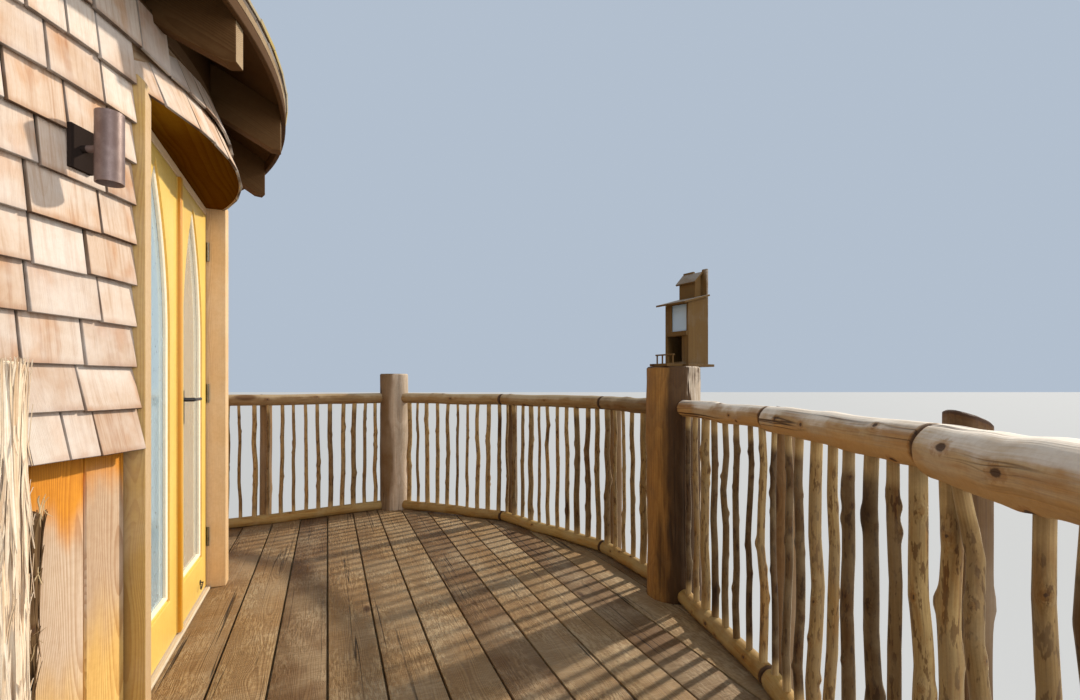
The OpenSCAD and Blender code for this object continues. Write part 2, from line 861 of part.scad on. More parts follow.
// A shelf in front of the door hole, with a rail on four small posts
module bird_balcony() {
    reach = 132;
    width = 124;
    rail_h = 44;
    stick = 6;
    y0 = -bird_d / 2 - reach;
    bird_board([-width / 2, y0, bird_sink], [width, reach, 0]);
    for (x = [4, width / 3, 2 * width / 3, width - 10])
        translate([x - width / 2, y0 + 44, bird_t]) cube([stick, stick, rail_h + 2]);
    translate([-width / 2, y0 + 40, bird_t + rail_h]) cube([width, 14, stick + 1]);
}

// The upper tier against the back board, its steep roof slab and the notched back board
module bird_upper() {
    tier_w = bird_w * 0.68;
    tier_d = 46;
    back = bird_d / 2 - bird_t;
    level = bird_t + bird_h;
    run = bird_d - bird_t;
    let_in = 4;
    drip = 12;
    notch = 30;
    translate([-bird_w / 2 + bird_t, back + bird_sink, level]) rotate([90, 0, -90]) mirror([0, 0, 1])
        linear_extrude(tier_w)
            polygon([[0, run * tan(bird_slope) + let_in], [tier_d, (run - tier_d) * tan(bird_slope) + let_in],
                     [tier_d, bird_tier + bird_sink], [0, bird_tier + bird_sink + tier_d * tan(bird_pitch)]]);
    translate([-bird_w / 2, back - tier_d, level + bird_tier]) rotate([bird_pitch, 0, 0])
        translate([0, -drip, 0]) cube([tier_w + 2 * bird_t, (tier_d + 2) / cos(bird_pitch) + drip, bird_t - 4]);
    difference() {
        bird_board([-bird_w / 2, back, bird_t - bird_sink], [bird_w, 0, bird_back]);
        translate([bird_w / 2 - 2 * notch, back - 1, bird_t + bird_back]) rotate([-90, 0, 0])
            cylinder(h = bird_t + 2, r = notch);
    }
}

// A bird house in two tiers with lean-to roofs, which stands on the main post
module bird_house() {
    roof_d = (bird_d - bird_t) / cos(bird_slope) + 2 * bird_eave + 2;
    color(plank) translate(concat(rail_pt(4), [deck_h + main_post_top + seat])) rotate([0, 0, bird_turn])
        translate(bird_shift) union() {
            bird_board([-bird_w / 2 - bird_base, -bird_d / 2 - bird_base, 0],
                       [bird_w + 2 * bird_base, bird_d + 2 * bird_base, 0]);
            for (x = [-bird_w / 2, bird_w / 2 - bird_t]) bird_side(x);
            bird_front();
            bird_balcony();
            bird_upper();
            translate([-bird_w / 2 - bird_base, -bird_d / 2, bird_t + bird_h]) rotate([bird_slope, 0, 0])
                translate([0, -2 * bird_eave, 0]) cube([bird_w + 2 * bird_base, roof_d, bird_t - 4]);
        }
}

cabin_stilts();
beams();
joists();
cabin_floor();
rim_board();
deck_floor();
main_post();
corner_posts();
outer_posts();
wall_newel();
for (i = [1:bays]) bay(i - 1);
for (i = [1:wall_segments]) wall_segment(i - 1);
door_hood();
door_head();
left_jamb();
right_jamb();
threshold();
left_door();
right_door();
left_glass();
right_glass();
door_handle();
door_hinges();
left_hinge_leaves();
right_hinge_leaves();
wall_plate();
rafters();
eave_blocking();
roof_hub();
roof_boards();
roof_shingles();
eave_fascia();
wall_lamp();
bird_house();
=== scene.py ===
# %% [markdown]
# A round tree house on log stilts: a cabin clad in cedar shingles under a conical roof, and in front of
# its double door a crescent deck with a balustrade of peeled logs and crooked sticks. The frame holds
# every solid at its real size. This lesson gives each solid the surface of the real one: shingles in
# courses, sawn boards, peeled logs, painted doors and small fittings.

# %% Load the solids
import math

import bmesh
import bpy
import numpy as np
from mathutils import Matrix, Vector


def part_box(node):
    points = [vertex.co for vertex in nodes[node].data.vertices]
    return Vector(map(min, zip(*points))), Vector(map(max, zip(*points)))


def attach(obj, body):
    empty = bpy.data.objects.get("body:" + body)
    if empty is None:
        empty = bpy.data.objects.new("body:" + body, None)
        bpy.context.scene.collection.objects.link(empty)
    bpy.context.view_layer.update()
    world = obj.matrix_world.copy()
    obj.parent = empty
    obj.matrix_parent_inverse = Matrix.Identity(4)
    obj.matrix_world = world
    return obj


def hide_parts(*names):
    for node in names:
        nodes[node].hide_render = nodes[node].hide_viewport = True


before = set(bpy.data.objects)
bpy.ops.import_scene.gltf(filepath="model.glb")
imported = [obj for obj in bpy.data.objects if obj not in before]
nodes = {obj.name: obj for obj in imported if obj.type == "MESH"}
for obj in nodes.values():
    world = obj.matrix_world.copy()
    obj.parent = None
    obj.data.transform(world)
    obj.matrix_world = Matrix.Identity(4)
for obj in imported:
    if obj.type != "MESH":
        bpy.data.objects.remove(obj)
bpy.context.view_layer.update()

scene = bpy.context.scene
print("solids:", len(nodes))

# %% [markdown]
# Every size comes from the solids, so that the dressing fits them. A node is a cloud of corners; a
# round wall gives its radii through the distance of its corners from the middle of the cabin.

# %% Measure the solids
def corners(node):
    """The corners of a solid, one row each."""
    return np.array([v.co for v in nodes[node].data.vertices])


def across(rows):
    """The distance of each corner from the middle of the cabin."""
    return np.hypot(rows[:, 0], rows[:, 1])


def loose_parts(bm):
    """The corners of a mesh in groups that edges join."""
    seen = set()
    parts = []
    for first in bm.verts:
        if first in seen:
            continue
        seen.add(first)
        queue = [first]
        part = []
        while queue:
            vert = queue.pop()
            part.append(vert)
            for edge in vert.link_edges:
                other = edge.other_vert(vert)
                if other not in seen:
                    seen.add(other)
                    queue.append(other)
        parts.append(part)
    return parts


def merged(node):
    """A working copy of a solid with its triangles joined up and its flat faces made whole."""
    bm = bmesh.new()
    bm.from_mesh(nodes[node].data)
    bmesh.ops.remove_doubles(bm, verts=bm.verts[:], dist=1e-5)
    bmesh.ops.dissolve_limit(bm, angle_limit=math.radians(0.2), verts=bm.verts[:], edges=bm.edges[:])
    return bm


def solids_of(node):
    """The separate solids of a node, each as an array of corners."""
    bm = bmesh.new()
    bm.from_mesh(nodes[node].data)
    bmesh.ops.remove_doubles(bm, verts=bm.verts[:], dist=1e-5)
    found = [np.array([v.co for v in part]) for part in loose_parts(bm)]
    bm.free()
    return found


# A millimetre, which is also the slack in comparisons
MM = 0.001
deck_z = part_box("deck_floor")[1].z
wall = corners("wall_4")
wall_top = wall[:, 2].max()
cabin_r = across(wall[wall[:, 2] > wall_top - MM]).max()
inner_r = across(wall).min()
skirt_r = across(wall[wall[:, 2] < deck_z + MM]).max()
flare_r = across(wall).max()
flare_z = wall[across(wall) > flare_r - MM][:, 2].min()
flare_top = wall[abs(across(wall) - cabin_r) < MM][:, 2].min()
left_out = -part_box("left_jamb")[0].x
jamb_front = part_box("left_jamb")[0].y
right_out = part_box("right_jamb")[1].x
door_half = -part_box("left_jamb")[1].x
soffit_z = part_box("door_hood")[0].z
roof = corners("roof_shingles")
eave_r = across(roof).max()
eave_z = roof[across(roof) > eave_r - MM][:, 2].max()
cap_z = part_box("roof_shingles")[1].z
ROOF_PITCH = math.radians(27)
roof_tan = math.tan(ROOF_PITCH)
print("wall", round(cabin_r, 3), "skirt", round(skirt_r, 3), "flare", round(flare_r, 3), round(flare_z, 3))
print("soffit", round(soffit_z, 3), "eave", round(eave_r, 3), round(eave_z, 3))

# %% [markdown]
# The hood over the doors bows out in an arc of a tighter radius than the wall. A circle through the
# lower corners of its front gives the middle and the radius of that arc, by least squares.

# %% Measure the bow of the hood
hood = corners("door_hood")
WELL_FORWARD = 0.05
forward = (hood[:, 2] < soffit_z + MM) & (hood[:, 1] < -cabin_r + WELL_FORWARD)
low_front = hood[forward & (abs(hood[:, 0]) < door_half - MM)]
fit = np.linalg.lstsq(np.stack([np.ones(len(low_front)), -2 * low_front[:, 1]], 1),
                      (low_front[:, :2] ** 2).sum(1), rcond=None)[0]
bow_c = float(fit[1])
bow_low = math.sqrt(fit[0] + bow_c * bow_c)
bow_top = -hood[hood[:, 2] > wall_top - MM][:, 1].min() - bow_c
print("bow centre", round(bow_c, 3), "radius", round(bow_low, 3), "to", round(bow_top, 3))


def bow_radius(z):
    """The radius of the hood's arc at a height."""
    share = (z - soffit_z) / (wall_top - soffit_z)
    return bow_low + (bow_top - bow_low) * min(max(share, 0), 1)


# %% [markdown]
# The camera stands at the open end of the deck, at a low eye height, and looks level along it. The
# lens and the place come from the known sizes: the doors, the rail and the shingle courses.

# %% Camera
EYE = Vector((-2.696, -2.475, deck_z + 1.10))
HEADING = Vector((0.927, -0.375, 0))
FOCAL_MM = 17.5
PICTURE_W = 1080
HORIZON_DROP = 34
camera_data = bpy.data.cameras.new("camera")
camera_data.lens = FOCAL_MM
camera_data.sensor_width = 36
camera_data.shift_y = HORIZON_DROP / PICTURE_W
camera_data.clip_start = 0.02
camera_data.clip_end = 200
camera = bpy.data.objects.new("camera", camera_data)
camera.location = EYE
camera.rotation_euler = HEADING.to_track_quat("-Z", "Y").to_euler()
scene.collection.objects.link(camera)
scene.camera = camera
print("eye above the deck", round(EYE.z - deck_z, 2), "lens", FOCAL_MM)

# %% [markdown]
# Node trees grow long when each node is placed and linked by hand. Two small classes keep them short:
# a Graph adds nodes, and a Value stands for one output and adds or multiplies like a number. They work
# in shader trees and in geometry trees, which share their math nodes. Two shades are multiplied so
# often here that this has short names too: times is the product, and tinted mixes it in by a share.

# %% Short calls for node trees
class Value:
    """The output of a node, used like a number or a vector."""

    def __init__(self, graph, socket):
        self.graph = graph
        self.socket = socket

    def __add__(self, other):
        return self.graph.math("ADD", self, other)

    def __radd__(self, other):
        return self.graph.math("ADD", other, self)

    def __sub__(self, other):
        return self.graph.math("SUBTRACT", self, other)

    def __rsub__(self, other):
        return self.graph.math("SUBTRACT", other, self)

    def __mul__(self, other):
        return self.graph.math("MULTIPLY", self, other)

    def __rmul__(self, other):
        return self.graph.math("MULTIPLY", other, self)

    def __truediv__(self, other):
        return self.graph.math("DIVIDE", self, other)


class Graph:
    """Adds nodes to a tree with short calls."""

    def __init__(self, tree):
        self.tree = tree

    def node(self, kind, **settings):
        made = self.tree.nodes.new(kind)
        for key, value in settings.items():
            setattr(made, key, value)
        return made

    def put(self, socket, value):
        if isinstance(value, Value):
            self.tree.links.new(value.socket, socket)
        elif value is not None:
            socket.default_value = value

    def fill(self, node, **values):
        for name, value in values.items():
            self.put(node.inputs[name.replace("_", " ")], value)
        return node

    def out(self, node, name=0):
        return Value(self, node.outputs[name])

    def math(self, operation, *values, clamp=False):
        made = self.node("ShaderNodeMath", operation=operation, use_clamp=clamp)
        for socket, value in zip(made.inputs, values):
            self.put(socket, value)
        return self.out(made)

    def vector(self, operation, *values):
        made = self.node("ShaderNodeVectorMath", operation=operation)
        for socket, value in zip(made.inputs, values):
            self.put(socket, value)
        number = operation in ("LENGTH", "DOT_PRODUCT", "DISTANCE")
        return self.out(made, "Value" if number else "Vector")

    def xyz(self, x, y, z):
        made = self.node("ShaderNodeCombineXYZ")
        for socket, value in zip(made.inputs, (x, y, z)):
            self.put(socket, value)
        return self.out(made)

    def split(self, vector):
        made = self.node("ShaderNodeSeparateXYZ")
        self.put(made.inputs[0], vector)
        return [self.out(made, i) for i in range(3)]

    def fit(self, value, low, high, to_low=0.0, to_high=1.0, smooth=True):
        made = self.node("ShaderNodeMapRange")
        made.interpolation_type = "SMOOTHSTEP" if smooth else "LINEAR"
        for socket, given in zip(made.inputs, (value, low, high, to_low, to_high)):
            self.put(socket, given)
        return self.out(made)

    def noise(self, vector, scale, detail=2.0, roughness=0.5, colour=False):
        made = self.node("ShaderNodeTexNoise")
        self.fill(made, Vector=vector, Scale=scale, Detail=detail, Roughness=roughness)
        return self.out(made, 1 if colour else 0)

    def cells(self, vector, scale, feature="F1", output="Distance"):
        made = self.node("ShaderNodeTexVoronoi", feature=feature)
        self.fill(made, Vector=vector, Scale=scale)
        return self.out(made, output)

    def mix(self, share, first, second, blend="MIX"):
        made = self.node("ShaderNodeMix", data_type="RGBA", blend_type=blend)
        for index, value in zip((0, 6, 7), (share, first, second)):
            if isinstance(value, tuple) and len(value) == 3:
                value = (*value, 1)
            self.put(made.inputs[index], value)
        return self.out(made, 2)

    def times(self, base, colour):
        return self.mix(1.0, base, colour, "MULTIPLY")

    def tinted(self, share, base, colour):
        return self.mix(share, base, self.times(base, colour))

    def ramp(self, share, *stops):
        made = self.node("ShaderNodeValToRGB")
        elements = made.color_ramp.elements
        while len(elements) < len(stops):
            elements.new(1)
        for element, (place, colour) in zip(elements, stops):
            element.position = place
            element.color = (*colour, 1)
        self.put(made.inputs[0], share)
        return self.out(made)

    def attribute(self, name, output="Fac"):
        return self.out(self.node("ShaderNodeAttribute", attribute_name=name), output)

    def place(self):
        return self.out(self.node("ShaderNodeTexCoord"), "Object")

    def normal(self):
        return self.out(self.node("ShaderNodeNewGeometry"), "Normal")


# %% [markdown]
# Wood shows the same things everywhere: growth rings about the pith, fine fibres along the grain, a
# few knots that bend the rings, and cracks that run with the fibres. All wood here carries an attribute
# called grain, a place in metres measured from the pith with Z along the fibres, so one shader group
# can draw the figure on logs, boards and shingles alike, and end grain shows rings by itself. Boards of
# the deck also keep the strokes of the saw across the grain.

# %% Shader groups for wood
def new_group(name, inputs, outputs, kind="ShaderNodeTree"):
    """A node group with named inputs and outputs, its graph and its two end nodes."""
    tree = bpy.data.node_groups.new(name, kind)
    for title, socket, value in inputs:
        made = tree.interface.new_socket(name=title, in_out="INPUT", socket_type="NodeSocket" + socket)
        if value is not None:
            made.default_value = value
    for title, socket in outputs:
        tree.interface.new_socket(name=title, in_out="OUTPUT", socket_type="NodeSocket" + socket)
    graph = Graph(tree)
    return graph, graph.node("NodeGroupInput"), graph.node("NodeGroupOutput")


def wood_figure():
    """Rings, fibres and knots of wood, from a place measured from the pith."""
    g, given, result = new_group(
        "wood_figure",
        [("Grain", "Vector", None), ("Tone", "Float", 0.5), ("Ring density", "Float", 160.0),
         ("Fibre density", "Float", 420.0), ("Knots", "Float", 0.5)],
        [("Rings", "Float"), ("Fibres", "Float"), ("Knots", "Float")])
    tone = g.out(given, "Tone")
    x, y, z = g.split(g.out(given, "Grain"))
    seed = tone * 37.0
    slow = g.noise(g.xyz(x * 3.0 + seed, y * 3.0, z * 0.9), 1.0, 2.0, 0.5, colour=True)
    wx, wy, wz = g.split(slow)
    knot_place = g.xyz(x * 4.5 + seed, y * 4.5, z * 1.7)
    knot_far = g.cells(knot_place, 1.0)
    size = g.out(given, "Knots") * 0.16
    knots = g.fit(knot_far, size, size * 0.45)
    pull = g.fit(knot_far, 0.42, 0.0) * 0.022
    away = g.vector("LENGTH", g.xyz(x + (wx - 0.5) * 0.045, y + (wy - 0.5) * 0.045, 0.0))
    turns = (away + pull) * g.out(given, "Ring density") + (wz - 0.5) * 2.0
    share = g.math("FRACT", turns)
    rings = g.fit(share, 0.25, 0.9) * g.fit(share, 1.0, 0.93)
    density = g.out(given, "Fibre density")
    fibres = g.noise(g.xyz(x * density, y * density, z * density * 0.018 + seed), 1.0, 3.0, 0.6)
    for title, value in (("Rings", rings), ("Fibres", fibres), ("Knots", knots)):
        g.put(result.inputs[title], value)
    return g.tree


def drying_cracks():
    """Cracks that open along the fibres as wood dries."""
    g, given, result = new_group(
        "drying_cracks",
        [("Grain", "Vector", None), ("Tone", "Float", 0.5), ("Density", "Float", 26.0),
         ("Width", "Float", 0.012), ("Spread", "Float", 0.5)],
        [("Cracks", "Float")])
    x, y, z = g.split(g.out(given, "Grain"))
    density = g.out(given, "Density")
    seed = g.out(given, "Tone") * 53.0
    drawn = g.noise(g.xyz(x * density, y * density, z * density * 0.02 + seed), 1.0, 2.0, 0.5)
    gap = g.math("ABSOLUTE", drawn - 0.5)
    line = g.fit(gap, g.out(given, "Width"), 0.0)
    where = g.noise(g.xyz(x * 12.0 + seed, y * 12.0, z * 1.1), 1.0, 1.0)
    spread = g.out(given, "Spread")
    open_here = g.fit(where, 1.02 - spread, 1.14 - spread)
    g.put(result.inputs["Cracks"], line * open_here)
    return g.tree


def weather_stain():
    """Broad stains and sun bleach that pay no heed to the grain."""
    g, given, result = new_group(
        "weather_stain", [("Place", "Vector", None), ("Size", "Float", 2.0), ("Tone", "Float", 0.5)],
        [("Stain", "Float"), ("Speckle", "Float")])
    place = g.out(given, "Place")
    moved = g.vector("ADD", place, g.xyz(g.out(given, "Tone") * 3.0, 0.0, 0.0))
    stain = g.noise(moved, g.out(given, "Size"), 4.0, 0.6)
    speckle = g.noise(moved, g.out(given, "Size") * 24.0, 3.0, 0.65)
    g.put(result.inputs["Stain"], g.fit(stain, 0.38, 0.66))
    g.put(result.inputs["Speckle"], g.fit(speckle, 0.35, 0.7))
    return g.tree


def sawn_marks():
    """Marks of the saw across a board, torn in places where splinters lifted."""
    g, given, result = new_group("sawn_marks", [("Grain", "Vector", None), ("Tone", "Float", 0.5)],
                                 [("Marks", "Float")])
    x, y, z = g.split(g.out(given, "Grain"))
    seed = g.out(given, "Tone") * 19.0
    strokes = g.noise(g.xyz(x * 14.0 + seed, y * 14.0, z * 150.0), 1.0, 2.0, 0.6)
    torn = g.noise(g.xyz(x * 90.0, y * 90.0 + seed, z * 24.0), 1.0, 3.0, 0.6)
    where = g.noise(g.xyz(x * 7.0, y * 7.0, z * 3.0 + seed), 1.0, 2.0)
    marks = strokes + g.fit(torn, 0.56, 0.40) * g.fit(where, 0.42, 0.58) * 0.6
    g.put(result.inputs["Marks"], g.fit(marks, 0.3, 1.0))
    return g.tree


FIGURE = wood_figure()
SAWN = sawn_marks()
CRACKS = drying_cracks()
STAIN = weather_stain()
print("shader groups:", FIGURE.name, SAWN.name, CRACKS.name, STAIN.name)

# %% [markdown]
# Each finish is then a recipe for the same function: the colours of pale and dark boards, how strongly
# rings, fibres, cracks and stains show, and how rough and how deep the surface is. The recipes follow
# the real finishes.

# %% One function for all wood
def new_material(name):
    """A material with its graph and its main shader."""
    material = bpy.data.materials.new(name)
    material.use_nodes = True
    graph = Graph(material.node_tree)
    return material, graph, material.node_tree.nodes["Principled BSDF"]


def placed(g, tree, **values):
    """A node group in a material, with its inputs filled."""
    return g.fill(g.node("ShaderNodeGroup", node_tree=tree), **values)


def wood(name, pale, mid, dark, late, crack, aged=None, ring_density=170.0, rings=0.5, fibres=0.35,
         fibre_density=420.0, knots=0.5, cracks=0.5, crack_density=26.0, crack_width=0.02, aging=0.5,
         stain_size=2.0, rough=(0.62, 0.85), relief=0.5, depth=0.0015, top=None, under=None, shape=None,
         sawn=0.0, shine=0.22, sheen=0.0):
    """Wood with its own colours: pale to dark from board to board, late wood, cracks and age."""
    material, g, shader = new_material(name)
    tone = g.attribute("tone")
    grain = g.attribute("grain", "Vector")
    figure = placed(g, FIGURE, Grain=grain, Tone=tone, Ring_density=ring_density,
                    Fibre_density=fibre_density, Knots=knots)
    split = placed(g, CRACKS, Grain=grain, Tone=tone, Density=crack_density, Width=crack_width,
                   Spread=cracks)
    place = g.place()
    stain = placed(g, STAIN, Place=place, Size=stain_size, Tone=tone)
    base = g.ramp(tone, (0.0, dark), (0.45, mid), (1.0, pale))
    if shape:
        base = shape(g, base, place, tone)
    fine = g.out(figure, "Fibres")
    base = g.tinted(g.fit(fine, 0.3, 0.75) * fibres, base, late)
    base = g.tinted(g.out(figure, "Rings") * rings, base, late)
    if aged:
        worn = g.out(stain, "Stain") * aging + (fine - 0.5) * 0.25
        base = g.mix(g.math("MAXIMUM", worn, 0.0, clamp=True), base, aged)
    facing = g.split(g.normal())[2]
    ragged = facing + (g.out(stain, "Stain") - 0.5) * 0.5 + (fine - 0.5) * 0.6
    # Tops may turn a paler colour, partly weathered grey and partly a painted highlight; undersides take the
    # colour that they show in shade, as painted shade
    if top:
        base = g.mix(g.fit(ragged, 0.15, 0.85) * top[1], base, top[0])
    if under:
        base = g.mix(g.fit(ragged, 0.05, -0.6) * under[1], base, under[0])
    knot_and_end_shade = g.attribute("knot")
    torn = knot_and_end_shade + (g.out(stain, "Speckle") - 0.5) * g.fit(knot_and_end_shade, 0.9, 0.3) * 0.35
    base = g.tinted(g.fit(torn, 0.15, 0.55) * 0.5, base, (0.66, 0.44, 0.25))
    # Knots and the cut ends of logs are darkened; at a cut end this is painted shadow, as in a joint
    base = g.mix(g.fit(torn, 0.66, 0.84) * 0.9, base, (0.07, 0.035, 0.018))
    knot = g.out(figure, "Knots")
    base = g.tinted(knot * 0.85, base, tuple(c * c for c in late))
    base = g.tinted(g.out(stain, "Speckle") * 0.16, base, late)
    base = g.mix(g.out(split, "Cracks") * 0.92, base, crack)
    if sawn:
        marks = placed(g, SAWN, Grain=grain, Tone=tone)
        base = g.mix(g.out(marks) * 0.6 + 0.4, g.times(base, late), base)
    shader.inputs["Specular IOR Level"].default_value = shine
    shader.inputs["Sheen Weight"].default_value = sheen
    shader.inputs["Sheen Roughness"].default_value = 0.35
    shader.inputs["Sheen Tint"].default_value = (1.0, 0.86, 0.62, 1.0)
    g.put(shader.inputs["Base Color"], base)
    g.put(shader.inputs["Roughness"], g.fit(fine, 0.25, 0.8, rough[1], rough[0]))
    height = fine * relief - g.out(figure, "Rings") * rings * 0.4 - g.out(split, "Cracks") * 1.8
    height = height + g.out(figure, "Knots") * 0.3
    if sawn:
        height = height + g.out(marks) * sawn
    bump = g.fill(g.node("ShaderNodeBump"), Height=height, Strength=0.8, Distance=depth)
    g.put(shader.inputs["Normal"], g.out(bump))
    return material


# %% [markdown]
# Some finishes have something of their own that the shared function can't give: shingles are streaked with
# tannin, a post keeps bark on its weather side, and a stick is whittled at its ends. Several of them also
# paint light and shade into the colour: painted shade on the butts and side edges of shingles, on the planks
# under the flare, on the outer side of the near jamb and under the eave; painted light on one side of the
# posts and on the rafter ends, and painted bounce light under the hood. Each is a short function that its
# recipe names. It changes the base colour by place, by the direction of the face or by an attribute that the
# piece carries.

# %% Tints of single finishes
def shingle_tint(g, base, place, tone):
    """Streaks down a shingle, with painted shade along its side edges and on its butt."""
    y, z = g.split(g.attribute("grain", "Vector"))[1:]
    up = g.attribute("up")
    streak = g.noise(g.xyz(y * 75.0, tone * 31.0, z * 3.5), 1.0, 3.0, 0.6)
    patch = g.noise(g.xyz(y * 14.0, tone * 17.0, z * 7.0), 1.0, 2.0, 0.5)
    base = g.tinted(g.fit(streak, 0.44, 0.68) * 0.55, base, (0.66, 0.47, 0.32))
    base = g.tinted(g.fit(patch, 0.50, 0.72) * 0.7, base, (0.86, 0.56, 0.30))
    height = g.split(place)[2]
    dim = g.fit(height, flare_z + 1.0, flare_z)
    base = g.tinted(dim, base, (0.80, 0.76, 0.74))
    low = g.fit(up + (streak - 0.5) * 0.16, 0.13, 0.0)
    base = g.tinted(low * 0.6, base, (0.62, 0.42, 0.27))
    # Painted shade: the side edges of a shingle are darkened, as the shade deep in the joints
    rim = g.fit(g.math("ABSOLUTE", g.attribute("side")), 0.965, 0.99)
    base = g.mix(rim * 0.8, base, (0.12, 0.065, 0.03))
    # Painted shade: the butt face is darkened, as the shade under each course
    return g.mix(g.fit(up, 0.016, 0.004), base, (0.085, 0.045, 0.022))


def sunlit_side_paint(g, base, place, tone):
    """The side of a corner post towards the sun is painted pale, as painted sunlight."""
    nx, ny = g.split(g.normal())[:2]
    rag = g.noise(g.vector("MULTIPLY", place, (16.0, 16.0, 2.6)), 1.0, 3.0)
    # Painted light: faces towards the sun are mixed towards a pale colour
    return g.mix(g.fit(rag * 0.6 - ny * 0.8 - nx * 0.5, 0.35, 0.75) * 0.8, base, (0.80, 0.66, 0.50))


def post_tint(g, base, place, tone):
    """A post is painted honey brown on the side that faces the cabin, as painted light, and still has pale
    bark on the weather side.
    """
    nx, ny = g.split(g.normal())[:2]
    z = g.split(place)[2]
    rag = g.noise(g.vector("MULTIPLY", place, (16.0, 16.0, 2.6)), 1.0, 3.0)
    flake = g.noise(g.vector("MULTIPLY", place, (60.0, 60.0, 7.0)), 1.0, 3.0)
    # Painted light: faces towards the cabin are mixed towards honey brown
    base = g.mix(g.fit(ny + (rag - 0.5) * 0.7, 0.70, 0.96) * 0.9, base, (0.44, 0.22, 0.055))
    bark = g.fit(rag * 0.8 - ny * 0.35 + z * 0.25 + nx * 0.1, 1.13, 1.20)
    return g.mix(bark * g.fit(flake, 0.36, 0.44), base, (0.70, 0.57, 0.42))


def heart_tint(g, base, place, tone):
    """Streaks of orange heartwood along a peeled log."""
    x, y, z = g.split(g.attribute("grain", "Vector"))
    streak = g.noise(g.xyz(x * 26.0 + tone * 9.0, y * 26.0, z * 3.2), 1.0, 4.0, 0.65)
    base = g.tinted(g.fit(streak, 0.50, 0.62) * 0.6, base, (0.84, 0.60, 0.34))
    return g.tinted(g.fit(streak, 0.42, 0.34) * 0.5, base, (0.62, 0.44, 0.28))


def bark_tint(g, base, place, tone):
    """Sticks keep flakes of dark bark, and their ends are whittled down to pale wood."""
    flake = g.noise(g.vector("MULTIPLY", place, (90.0, 90.0, 22.0)), 1.0, 3.0, 0.6)
    base = g.tinted(g.fit(flake, 0.54, 0.60) * 0.8, base, (0.34, 0.24, 0.16))
    base = heart_tint(g, base, place, tone)
    return g.mix(g.attribute("bared") * 0.85, base, (0.56, 0.38, 0.16))


def lit_ends(g, base, place, tone):
    """The sawn ends of the rafters are painted paler than their sides, as painted sunlight."""
    nx, ny = g.split(g.normal())[:2]
    x, y, z = g.split(place)
    far = g.math("SQRT", x * x + y * y)
    outward = (nx * x + ny * y) / far
    edge = g.fit(outward, 0.8, 0.95) * g.fit(far, cabin_r + 0.1, cabin_r + 0.12)
    edge = edge * g.fit(z, wall_top - 0.3, wall_top - 0.25)
    return g.mix(edge * 0.8, base, (0.52, 0.40, 0.25))


def painted_shade_side(g, base, place, tone):
    """The outer side of the near jamb is painted dark brown, as painted shade, with a warm band by its front
    edge, as painted light.
    """
    nx = g.split(g.normal())[0]
    y = g.split(place)[1]
    # Painted light and shade: warm by the front edge, dark brown further back towards the wall
    side = g.mix(g.fit(y, jamb_front + 0.015, jamb_front + 0.085), (0.56, 0.35, 0.10), (0.13, 0.065, 0.018))
    return g.mix(g.fit(nx, -0.4, -0.8), base, side)


def soffit_tint(g, base, place, tone):
    """The underside of the hood is painted golden by the near jamb, as painted bounce light from the yellow
    doors; its other sides are the colour of cedar.
    """
    nz = g.split(g.normal())[2]
    x = g.split(place)[0]
    # Painted light: a golden glow on the underside by the near jamb
    base = g.mix(g.fit(x, 0.35 - door_half, -door_half) * 0.7, base, (0.34, 0.19, 0.018))
    return g.mix(g.fit(nz, -0.6, -0.3), base, (0.46, 0.33, 0.21))


def plank_tint(g, base, place, tone):
    """Planks are painted orange at the top, as painted shade under the flare of the shingles, grey in the
    middle and yellow low down.
    """
    z = g.split(place)[2]
    ragged = g.noise(g.vector("MULTIPLY", place, (9.0, 9.0, 2.0)), 1.0, 3.0) * 0.36
    high = g.fit(z + ragged + tone * 0.1, flare_z + 0.02, flare_z + 0.16)
    low = g.fit(z + ragged + tone * 0.2, deck_z + 0.72, deck_z + 0.44)
    base = g.mix(low * 0.9, base, (0.84, 0.54, 0.16))
    # Painted shade: orange at the top, under the flare
    return g.mix(high, base, (0.76, 0.31, 0.03))


def eave_tint(g, base, place, tone):
    """Roof shingles are tinted as the wall is, the butts at the eave are yellow, and the layers under the
    eave are painted dark, as painted shade.
    """
    base = shingle_tint(g, base, place, tone)
    z = g.split(place)[2]
    butt = g.fit(g.attribute("up"), 0.02, 0.01) * g.fit(z, eave_z + 0.03, eave_z + 0.01)
    base = g.mix(butt, base, (0.58, 0.44, 0.13))
    # Painted shade: the shingles below the line of the eave are darkened
    return g.mix(g.fit(z, eave_z - 0.010, eave_z - 0.014), base, (0.10, 0.055, 0.024))


# %% [markdown]
# The finishes are silvered cedar on the wall, greyer cedar on the roof, tanned deck boards, honey-brown
# logs, oiled rafters and so on; the rafters and the underside of the hood are darkened as painted shade.
# Finishes that differ in little more than colour share their settings.

# %% Recipes of the finishes
wall_cedar = wood("wall_cedar", (0.74, 0.64, 0.53), (0.67, 0.53, 0.41), (0.56, 0.39, 0.26),
                  late=(0.82, 0.68, 0.54), crack=(0.10, 0.05, 0.02), aged=(0.71, 0.65, 0.58),
                  ring_density=260.0, rings=0.22, fibres=0.4, fibre_density=520.0, knots=0.0, cracks=0.25,
                  crack_density=34.0, aging=0.6, stain_size=3.0, relief=0.7, shape=shingle_tint)
roof_cedar = wood("roof_cedar", (0.52, 0.43, 0.32), (0.42, 0.33, 0.24), (0.30, 0.22, 0.15),
                  late=(0.72, 0.60, 0.48), crack=(0.07, 0.04, 0.02), aged=(0.40, 0.37, 0.33),
                  ring_density=240.0, rings=0.25, fibres=0.5, knots=0.0, cracks=0.36, crack_density=34.0,
                  aging=0.75, stain_size=1.6, relief=0.7, shape=eave_tint)
